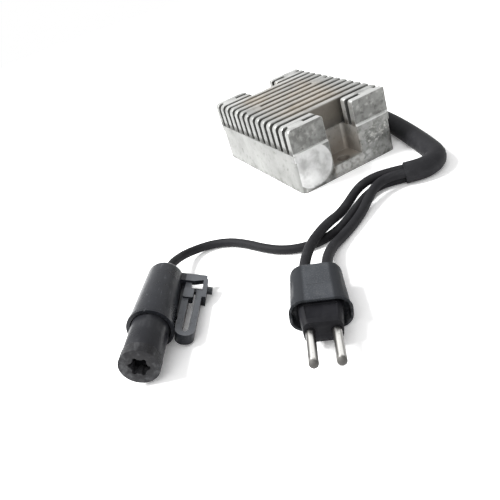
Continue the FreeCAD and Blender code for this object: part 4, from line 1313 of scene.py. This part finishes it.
@dataclass
class Plug:
    """The two-pin plug: moulded body with a flared skirt, stepped nose and two pins."""

    place: Place = Place(-71.5, -124.5, 7.98943, 241.8, 7.0)
    length: float = 25.0
    rear: tuple[float, float] = (20.4, 12.8)
    front: tuple[float, float] = (22.0, 13.6)
    shoulder: float = 5.2
    rear_round: float = 1.4
    lip: float = 2.6
    flare: float = 0.8
    skirt_depth: float = 4.5
    skirt_wall: float = 1.15
    nose_width: float = 17.2
    nose_height: float = 10.6
    tip_width: float = 14.0
    tip_height: float = 8.8
    nose_reach: float = 9.6
    pocket_width: float = 12.0
    pocket_depth: float = 0.9
    pocket_lip: float = 2.2
    spacing: float = 9.3
    pin_radius: float = 1.75
    shank_radius: float = 1.5
    pin_reach: float = 17.3
    nose_corner: float = 3.0
    cable_bore: float = 2.32
    barrel_start: float = 6.0
    barrel_radius: float = 2.15
    barrel_length: float = 6.0
    last_run: float = 13.0

    def cable_points(self, side: int) -> list[Point]:
        """Lays out the end of a cable, in line with its pin.

        Args:
            side: -1 or 1, the side of the plug.

        Returns:
            Its last two points.
        """
        ends = (self.barrel_start - self.last_run, self.barrel_start)
        return [self.place.carry((x, side * self.spacing / 2, 0.0)) for x in ends]

    def _body(self) -> Piece:
        """Models the moulded body.

        Returns:
            The body in its own frame.
        """
        width, height = self.rear[0] / 2, self.rear[1] / 2
        body = Bench.block("plug_moulding", (0, -width, -height), (self.length, width, height))
        Bench.round_edges(body, lambda middle, line: line.x > 0.9, self.shoulder, 8)
        Bench.scale_faces(
            body,
            lambda middle, normal: normal.x > 0.9,
            (1.0, self.front[0] / self.rear[0], self.front[1] / self.rear[1]),
            (self.length, 0.0, 0.0),
        )
        with Bench.editing(body) as mesh:
            Bench.choose_faces(body, mesh, lambda middle, normal: normal.x > 0.9)
            bpy.ops.transform.translate(value=(-self.lip, 0, 0))
            bpy.ops.mesh.extrude_region_move(TRANSFORM_OT_translate={"value": (self.lip, 0, 0)})
            stretch = (1.0, 1 + 2 * self.flare / self.front[0], 1 + self.flare / self.front[1])
            bpy.ops.transform.resize(value=stretch, center_override=(self.length, 0, 0))
        Bench.sink(
            body,
            lambda middle, normal: normal.x > 0.9 and middle.x > self.length - 0.1,
            self.skirt_wall,
            (-self.skirt_depth, 0, 0),
        )
        Bench.round_edges(body, lambda middle, line: middle.x < 0.01, self.rear_round, 4)
        for side in (-1, 1):
            foot = (-2, side * self.spacing / 2, 0)
            bore = Bench.rod("bore", foot, Axis.X, self.cable_bore, self.barrel_start + 2, 40)
            Bench.combine(body, bore, Cut.REMOVE)
        return Bench.soften(body, 0.16, 2, 28.0)

    def _nose(self) -> Piece:
        """Models the stepped nose with its pocket.

        Returns:
            The nose.
        """
        start, tip = self.length - self.skirt_depth, self.length + self.nose_reach
        width, height = self.nose_width / 2, self.nose_height / 2
        nose = Bench.block("plug_nose", (start + 0.02, -width, -height), (tip, width, height))
        Bench.round_edges(nose, lambda middle, line: line.x > 0.9, self.nose_corner, 5)
        factors = (1.0, self.tip_width / self.nose_width, self.tip_height / self.nose_height)
        Bench.scale_faces(nose, lambda middle, normal: normal.x > 0.9, factors, (tip, 0.0, 0.0))
        top, half = self.nose_height / 2, self.pocket_width / 2
        low = (self.length, -half, top - self.pocket_depth)
        pocket = Bench.block("pocket", low, (tip - self.pocket_lip, half, top + 2))
        Bench.scale_faces(pocket, lambda middle, normal: normal.x > 0.9, (1.0, 0.9, 1.0), (0.0, 0.0, 0.0))
        Bench.combine(nose, pocket, Cut.REMOVE)
        for side in (-1, 1):
            start_at = (start - 1, side * self.spacing / 2, 0)
            bore = Bench.rod("pin_bore", start_at, Axis.X, self.shank_radius + 0.02, 20, 40)
            Bench.combine(nose, bore, Cut.REMOVE)
        return Bench.soften(nose, 0.3, 2, 28.0)

    def _pin(self, name: str, side: int) -> Piece:
        """Models a pin with its crimp barrel and round tip.

        Args:
            name: The piece's name.
            side: -1 or 1, the side of the plug.

        Returns:
            The pin in the plug's frame.
        """
        y = side * self.spacing / 2
        face = self.length + self.nose_reach
        tip = face + self.pin_reach
        start = self.barrel_start
        pin = Bench.rod(name, (face, y, 0), Axis.X, self.pin_radius, self.pin_reach, 40)
        Bench.round_edges(pin, lambda middle, line: middle.x > tip - 0.01, self.pin_radius * 0.97, 8)
        shank = Bench.rod("shank", (start, y, 0), Axis.X, self.shank_radius, face + 1 - start, 40)
        Bench.combine(pin, shank, Cut.ADD)
        barrel = Bench.rod("barrel", (start, y, 0), Axis.X, self.barrel_radius, self.barrel_length, 40)
        return Bench.combine(pin, barrel, Cut.ADD)

    def build(self) -> dict[str, Piece]:
        """Models the plug's four pieces.

        Returns:
            The pieces by name.
        """
        rubber = RubberFinish(
            "plug_rubber",
            (0.029, 0.032, 0.037),
            roughness=0.42,
            relief=0.035,
            amount=0.3,
            band=self.rear[0] / 2 - self.shoulder,
            seam=self.length * 0.6,
        )
        # The nose's rubber is near black, far darker than the body: partly its own darker moulding, partly
        # painted shade for its recessed pocket.
        dull = RubberFinish("nose_rubber", (0.0045, 0.0045, 0.006), roughness=0.6, amount=0.06)
        pieces = {
            "plug_body": (self._body(), rubber.material(self.place), "plug_rubber"),
            "plug_insert": (self._nose(), dull.material(self.place), "insert_plastic"),
            "plug_pin_a": (self._pin("stator_pin_a", -1), PinFinish().material(self.place), "pin_steel"),
            "plug_pin_b": (self._pin("stator_pin_b", 1), PinFinish().material(self.place), "pin_steel"),
        }
        return set_down(pieces, self.place)


@dataclass
class Connector:
    """The one-way connector: tapered shell, latch frame, guard wing, inner tube and seals."""

    place: Place = Place(-117.7, -71.4, 9.65, 239.5, 22.0)
    length: float = 38.5
    mouth: float = 5.2
    rear: float = 7.9
    rim: float = 9.3
    dome: float = 3.2
    band: float = 0.35
    band_length: float = 1.6
    wall: float = 1.1
    rim_depth: float = 9.0
    nose_radius: float = 7.75
    nose_reach: float = 16.6
    seal_length: float = 4.6
    seal_radius: float = 7.95
    seal_hole: float = 3.3
    lobe: float = 0.95
    lobes: int = 6
    arm_height: float = 4.8
    arm_rear: float = 6.0
    wing_start: float = 2.4
    wing_length: float = 5.2
    wing_rise: float = 1.4
    outer_rear: float = 12.0
    inner_arm: float = 9.7
    arm_width: float = 2.6
    bend_x: float = 38.6
    web: tuple[float, float] = (6.0, 0.9)
    pad: tuple[float, float] = (12.5, 19.0)
    pad_rise: tuple[float, float] = (1.7, 0.9)
    hook: tuple[float, float] = (7.0, 16.5)
    hook_rise: float = 1.8
    hook_tip: Point = (-1.2, 0.0, 2.6)
    tie_end: float = 9.6
    knob: Point = (10.2, 1.6, 1.2)
    knob_radius: float = 1.7
    knob_length: float = 2.4
    wing_root: float = 5.2
    wing_reach: float = 18.6
    wing_thickness: float = 2.2
    seat: float = 22.0
    core_radius: float = 2.92
    bore_start: float = 39.0
    bore_radius: float = 5.0
    wire_bore: float = 2.6
    wire_start: float = 4.0
    last_run: float = 10.8

    def wire_points(self) -> list[Point]:
        """Lays out the end of the wire, in line with its terminal.

        Returns:
            Its last two points.
        """
        return [self.place.carry((x, 0.0, 0.0)) for x in (self.wire_start - self.last_run, self.wire_start)]

    def _barrel(self) -> Piece:
        """Models the round barrel with its domed rear, banded rim and open mouth.

        Returns:
            The barrel.
        """
        band = self.length - self.band_length
        barrel = Bench.rod("connector_moulding", (0, 0, 0), Axis.X, self.rear, band, 96)
        grow = self.rim / self.rear
        Bench.scale_faces(barrel, lambda middle, normal: normal.x > 0.9, (1, grow, grow), (band, 0, 0))
        Bench.round_edges(barrel, lambda middle, line: middle.x < 0.01, self.dome, 7)
        collar = Bench.rod("rim_band", (band, 0, 0), Axis.X, self.rim + self.band, self.band_length, 96)
        Bench.combine(barrel, collar, Cut.ADD)
        foot = (self.length - self.rim_depth, 0, 0)
        bore = Bench.rod("rim_bore", foot, Axis.X, self.rim - self.wall, self.rim_depth + 1, 96)
        Bench.combine(barrel, bore, Cut.REMOVE)
        wire = Bench.rod("wire_bore", (-1, 0, 0), Axis.X, self.wire_bore, self.wire_start + 1, 48)
        return Bench.combine(barrel, wire, Cut.REMOVE)

    def _latch(self) -> Piece:
        """Models the latch frame: two arms, their bend, the pad, the hook and the knob.

        Returns:
            The frame.
        """
        half = self.arm_height / 2
        inner, edge = self.inner_arm, self.inner_arm + self.arm_width
        outer = edge + self.arm_width
        far = outer + self.arm_width
        middle = (inner + far) / 2
        frame = Bench.block("latch", (self.arm_rear, inner, -half), (self.bend_x + 0.2, edge, half))
        arm = Bench.block("outer_arm", (self.outer_rear, outer, -half), (self.bend_x + 0.2, far, half))
        bend = Bench.rod("bend", (self.bend_x, middle, -half), Axis.Z, (far - inner) / 2, self.arm_height, 48)
        hole = Bench.rod("bend_hole", (self.bend_x, middle, -half - 1), Axis.Z, self.arm_width / 2, 9, 40)
        Bench.combine(bend, hole, Cut.REMOVE)
        low, high = (self.bend_x - 9, inner - 1, -half - 1), (self.bend_x, far + 1, half + 1)
        back = Bench.block("bend_back", low, high)
        Bench.combine(bend, back, Cut.REMOVE)
        foot, thin = self.web
        web_end = (self.length - self.rim_depth, inner + 0.2, thin)
        web = Bench.block("web", (self.arm_rear, foot, -thin), web_end)
        start, end = self.pad
        pad = Bench.block("pad", (start, inner, 0), (end, edge + self.pad_rise[0], half + self.pad_rise[1]))
        Bench.round_edges(pad, lambda m, line: line.z > 0.9, 0.7, 3)
        start, end = self.hook
        hook = Bench.block("hook", (start, far - 0.1, -half), (end, far + self.hook_rise, half))
        tip = half + self.hook_tip[2]
        with Bench.editing(hook) as mesh:
            Bench.choose_faces(hook, mesh, lambda m, normal: normal.z > 0.9)
            bpy.ops.mesh.extrude_region_move(TRANSFORM_OT_translate={"value": self.hook_tip})
            bpy.ops.transform.resize(value=(0.35, 1.0, 1.0), center_override=(start + 0.6, 0, tip))
        tie = Bench.block("tie", (start, edge - 0.1, -half), (self.tie_end, far + 0.1, -0.8))
        x, y, z = self.knob
        knob = Bench.rod("knob", (x, far + y, z), Axis.Y, self.knob_radius, self.knob_length, 32)
        for part in (arm, bend, web, pad, hook, tie, knob):
            Bench.combine(frame, part, Cut.ADD)
        return frame

    def _wing(self) -> Piece:
        """Models the guard wing with its cut-back corner.

        Returns:
            The wing.
        """
        start, root, rise = self.wing_start, self.wing_root, self.wing_rise
        end = (start + self.wing_length, self.wing_reach, rise + self.wing_thickness)
        wing = Bench.block("wing", (start, root, rise), end)
        with Bench.editing(wing) as mesh:
            Bench.choose_faces(wing, mesh, lambda middle, normal: normal.y > 0.9)
            bpy.ops.transform.translate(value=(0, -root, 0))
            bpy.ops.mesh.extrude_region_move(TRANSFORM_OT_translate={"value": (0, root, 0)})
            bpy.ops.transform.resize(value=(0.62, 1.0, 1.0), center_override=(start, 0, 0))
        return Bench.round_edges(
            wing, lambda middle, line: line.z > 0.9 and middle.y > self.wing_reach - 0.1, 0.7, 3
        )

    def _shell(self) -> Piece:
        """Joins barrel, latch frame and wing into one moulding.

        Returns:
            The shell.
        """
        shell = self._barrel()
        Bench.combine(shell, self._latch(), Cut.ADD)
        Bench.combine(shell, self._wing(), Cut.ADD)
        seat = Bench.rod("nose_seat", (self.seat, 0, 0), Axis.X, self.nose_radius, 20, 96)
        Bench.combine(shell, seat, Cut.REMOVE)
        return Bench.soften(shell, 0.2, 2, 30.0)

    def _nose(self) -> Piece:
        """Models the inner tube.

        Returns:
            The tube.
        """
        start, end = self.seat + 0.02, self.length + self.nose_reach
        nose = Bench.rod("connector_tube", (start, 0, 0), Axis.X, self.nose_radius - 0.02, end - start, 96)
        core = Bench.rod("core", (self.seat - 1, 0, 0), Axis.X, self.core_radius, 19, 48)
        Bench.combine(nose, core, Cut.REMOVE)
        bore = Bench.rod("bore", (self.bore_start, 0, 0), Axis.X, self.bore_radius, 20, 64)
        Bench.combine(nose, bore, Cut.REMOVE)
        return Bench.soften(nose, 0.25, 2, 30.0)

    def _seal(self) -> Piece:
        """Models the end seal with its lobed hole.

        Returns:
            The seal.
        """
        start = self.length + self.nose_reach
        seal = Bench.rod("end_seal", (start, 0, 0), Axis.X, self.seal_radius, self.seal_length, 96)
        hole = Bench.rod("seal_hole", (start - 1, 0, 0), Axis.X, self.seal_hole, self.seal_length + 2, 48)
        for index in range(self.lobes):
            angle = 2 * math.pi * index / self.lobes
            spot = (start - 1, self.seal_hole * math.cos(angle), self.seal_hole * math.sin(angle))
            Bench.combine(hole, Bench.rod("lobe", spot, Axis.X, self.lobe, self.seal_length + 2, 24), Cut.ADD)
        Bench.combine(seal, hole, Cut.REMOVE)
        return Bench.soften(seal, 0.35, 3, 40.0)

    def build(self) -> dict[str, Piece]:
        """Models and dresses the connector's visible pieces.

        Returns:
            The pieces by node name.
        """
        shell = MouldedFinish("connector_plastic", (0.0115, 0.0125, 0.0155), roughness=0.3)
        tube = RubberFinish("tube_plastic", (0.016, 0.0165, 0.019), roughness=0.3, relief=0.02, amount=0.3)
        rubber = RubberFinish("seal_rubber", (0.0125, 0.0125, 0.014), roughness=0.5, relief=0.16, amount=0.9)
        pieces = {
            "connector_shell": (self._shell(), shell.material(self.place), "connector_plastic"),
            "connector_nose": (self._nose(), tube.material(self.place), "insert_plastic"),
            "connector_seal": (self._seal(), rubber.material(self.place), "seal_rubber"),
        }
        return set_down(pieces, self.place)


@dataclass
class Insides:
    """The nodes that keep their solids: the potted circuit, the screws, seals and terminal."""

    nodes: dict[str, Piece]
    resin: Colour = (0.012, 0.012, 0.014)

    def _paint(
        self, finish: PlainFinish, names: Sequence[str], mask: Callable[[Graph], Signal] | None = None
    ) -> None:
        """Gives several nodes one finish.

        Args:
            finish: The finish.
            names: The nodes.
            mask: Says where the second colour lies.
        """
        material = finish.material(mask)
        for name in names:
            dress(self.nodes[name], material)

    @staticmethod
    def _tabs(g: Graph) -> Signal:
        """Marks the metal back and the legs of a power device.

        Args:
            g: The material's graph.

        Returns:
            1 above and below the moulded body, and 0 on it.
        """
        return g.z.fade(15.35, 15.45).most(g.z.fade(12.2, 12.1))

    @staticmethod
    def _bands(g: Graph) -> Signal:
        """Marks the rings that are painted round a small part.

        Args:
            g: The material's graph.

        Returns:
            1 in the rings.
        """
        return g.node("ShaderNodeMath", {"operation": "PINGPONG"}, {0: g.x, 1: 1.1}, "Value").fade(0.7, 0.85)

    def build(self) -> None:
        """Dresses every node that stays."""
        tin, zinc = (0.62, 0.58, 0.48), (0.52, 0.53, 0.52)
        resin = PlainFinish("potting_resin", self.resin, self.resin, 0.32, grain=3.0, relief=0.12)
        self._paint(resin, ["potting_compound"])
        board = PlainFinish("board_laminate", (0.035, 0.13, 0.05), (0.55, 0.42, 0.16), 0.4)
        self._paint(board, ["circuit_board"], lambda g: g.noise(6.0, 1.0, (6.0, 1.0, 1.0)).fade(0.58, 0.6))
        self._paint(PlainFinish("film", (0.5, 0.47, 0.40), tin, 0.5), ["insulating_film"])
        device = PlainFinish("power_device", (0.018, 0.018, 0.02), zinc, 0.36, 0.0, 1.0)
        power = ["thyristor_1", "thyristor_2", "rectifier_diode_1", "rectifier_diode_2"]
        self._paint(device, power, self._tabs)
        self._paint(PlainFinish("screw_steel", zinc, tin, 0.32, 1.0, 1.0), ["board_screws", "device_screws"])
        can = PlainFinish("capacitor_can", (0.02, 0.025, 0.07), zinc, 0.35, 0.0, 1.0)
        self._paint(can, ["filter_capacitor"], lambda g: g.z.fade(10.0, 10.1))
        small = PlainFinish("small_device", (0.016, 0.016, 0.016), tin, 0.4, 0.0, 1.0)
        self._paint(small, ["control_transistor"], lambda g: g.z.fade(5.1, 5.0))
        bead = PlainFinish("zener_bead", (0.42, 0.12, 0.04), tin, 0.2, 0.0, 0.0)
        self._paint(bead, ["zener_diode"], self._bands)
        resistor = PlainFinish("resistor_body", (0.48, 0.34, 0.18), (0.25, 0.05, 0.03), 0.35)
        self._paint(resistor, ["resistor_1", "resistor_2", "resistor_3"], self._bands)
        terminal = PlainFinish("tinned_brass", tin, (0.55, 0.40, 0.16), 0.28, 1.0, 1.0)
        names = ["stator_tab_a", "stator_tab_b", "output_tab", "connector_socket"]
        self._paint(terminal, names, lambda g: g.noise(2.5, 4.0).fade(0.58, 0.66))
        lead = PlainFinish("lead_jacket", (0.02, 0.02, 0.022), (0.70, 0.36, 0.20), 0.5, 0.0, 1.0)
        ends = ["stator_lead_end_a", "stator_lead_end_b", "output_lead_end"]
        self._paint(lead, ends, lambda g: g.x.fade(20.1, 19.9))
        rubber = RubberFinish("grommet_rubber", (0.020, 0.020, 0.022), roughness=0.5)
        dress(self.nodes["cable_grommet"], rubber.material())
        dress(self.nodes["connector_wire_seal"], RubberFinish("wire_seal", (0.05, 0.03, 0.02)).material())


@dataclass
class Studio:
    """The camera, the soft light and the pale floor."""

    eye: Point = (-152.354, -305.796, 142.286)
    azimuth: float = 17.830
    elevation: float = 29.912
    roll: float = 18.643
    lens: float = 43.2
    sensor: float = 36.0
    surround: float = 0.55
    tone: float = 1.22
    near: float = 330.0
    far: float = 900.0

    def camera(self) -> None:
        """Sets the camera at the photograph's place."""
        az, el, roll = (math.radians(a) for a in (self.azimuth, self.elevation, self.roll))
        look = Vector((math.cos(el) * math.sin(az), math.cos(el) * math.cos(az), -math.sin(el)))
        level = Vector((math.cos(az), -math.sin(az), 0.0))
        upright = level.cross(look)
        right = level * math.cos(roll) - upright * math.sin(roll)
        top = right.cross(look)
        data = bpy.data.cameras.new("camera")
        data.lens = self.lens
        data.sensor_width = self.sensor
        data.clip_start, data.clip_end = 0.01, 20.0
        camera = bpy.data.objects.new("camera", data)
        bpy.context.scene.collection.objects.link(camera)
        rows = [right, top, -look]
        turn = Matrix(rows).transposed().to_4x4()
        turn.translation = Vector(self.eye) * MM
        camera.matrix_world = turn
        bpy.context.scene.camera = camera

    def _lamp(self, name: str, spot: Point, aim: Point, size: float, power: float) -> None:
        """Adds one area lamp that looks at a point.

        Args:
            name: The lamp's name.
            spot: Where it hangs, in metres.
            aim: The point that it looks at.
            size: The side of its square.
            power: Its power in watts.
        """
        data = bpy.data.lights.new(name, "AREA")
        data.shape = "SQUARE"
        data.size = size
        data.energy = power
        lamp = bpy.data.objects.new(name, data)
        bpy.context.scene.collection.objects.link(lamp)
        lamp.location = spot
        lamp.rotation_mode = "QUATERNION"
        lamp.rotation_quaternion = (Vector(aim) - Vector(spot)).to_track_quat("-Z", "Y")

    def light(self) -> None:
        """Adds the lamps and the white surroundings, and shows colours as they are written."""
        bpy.context.scene.view_settings.view_transform = "Standard"
        self._lamp("key", (-0.80, 0.42, 1.0), (-0.03, -0.05, 0.0), 0.5, 35.0)
        self._lamp("fill", (-0.55, -0.75, 0.9), (-0.03, -0.05, 0.0), 0.9, 6.0)
        world = bpy.data.worlds.new("surroundings")
        bpy.context.scene.world = world
        world.use_nodes = True
        n = Nodes(world.node_tree)
        dim, white = (
            n.node("ShaderNodeBackground", {}, {"Color": WHITE, "Strength": strength}, "Background")
            for strength in (self.surround, 1.0)
        )
        mix = n.node("ShaderNodeMixShader", {}, {0: n.shown(), 1: dim, 2: white}, 0)
        n.close(mix, "ShaderNodeOutputWorld")

    def floor(self) -> None:
        """Lays the floor, nearly white to the camera, with the object's shadow on it."""
        Bench.pick()
        bpy.ops.mesh.primitive_plane_add(size=12.0, location=(0, 0, 0))
        floor = bpy.context.active_object
        floor.name = "floor"
        g = Graph("floor")
        grain = g.noise(60.0, 2.0)
        paper = g.blend(grain, (0.93, 0.93, 0.93), (0.95, 0.95, 0.95))
        matt = g.node("ShaderNodeBsdfDiffuse", {}, {"Color": paper}, "BSDF")
        pale = g.node("ShaderNodeBsdfDiffuse", {}, {"Color": (self.tone,) * 3}, "BSDF")
        glow = g.node("ShaderNodeEmission", {}, {"Color": WHITE, "Strength": 1.0}, "Emission")
        far = (g.x * g.x + g.y * g.y).fade(self.near**2, self.far**2)
        seen = g.node("ShaderNodeMixShader", {}, {0: far * 0.9 + 0.1, 1: pale, 2: glow}, 0)
        g.close(g.node("ShaderNodeMixShader", {}, {0: g.shown(), 1: matt, 2: seen}, 0))
        dress(floor, g.material)

    def build(self) -> None:
        """Sets up the whole studio."""
        self.camera()
        self.light()
        self.floor()


def main() -> None:
    logging.basicConfig(level=logging.INFO, format="%(name)s: %(message)s")
    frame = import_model()
    Studio().build()
    LOG.info("studio: camera, lamps, surroundings and floor")
    plug, connector = Plug(), Connector()
    cords = Cords().build(plug, connector)
    LOG.info("cords: %s", ", ".join(cords))
    plug_pieces = plug.build()
    LOG.info("plug: %s", ", ".join(plug_pieces))
    connector_pieces = connector.build()
    LOG.info("connector: %s", ", ".join(connector_pieces))
    casting = Casting().build()
    LOG.info("casting: %d faces", len(casting.data.polygons))
    Insides(frame["nodes"]).build()
    LOG.info("insides: dressed")


if __name__ == "__main__":
    main()
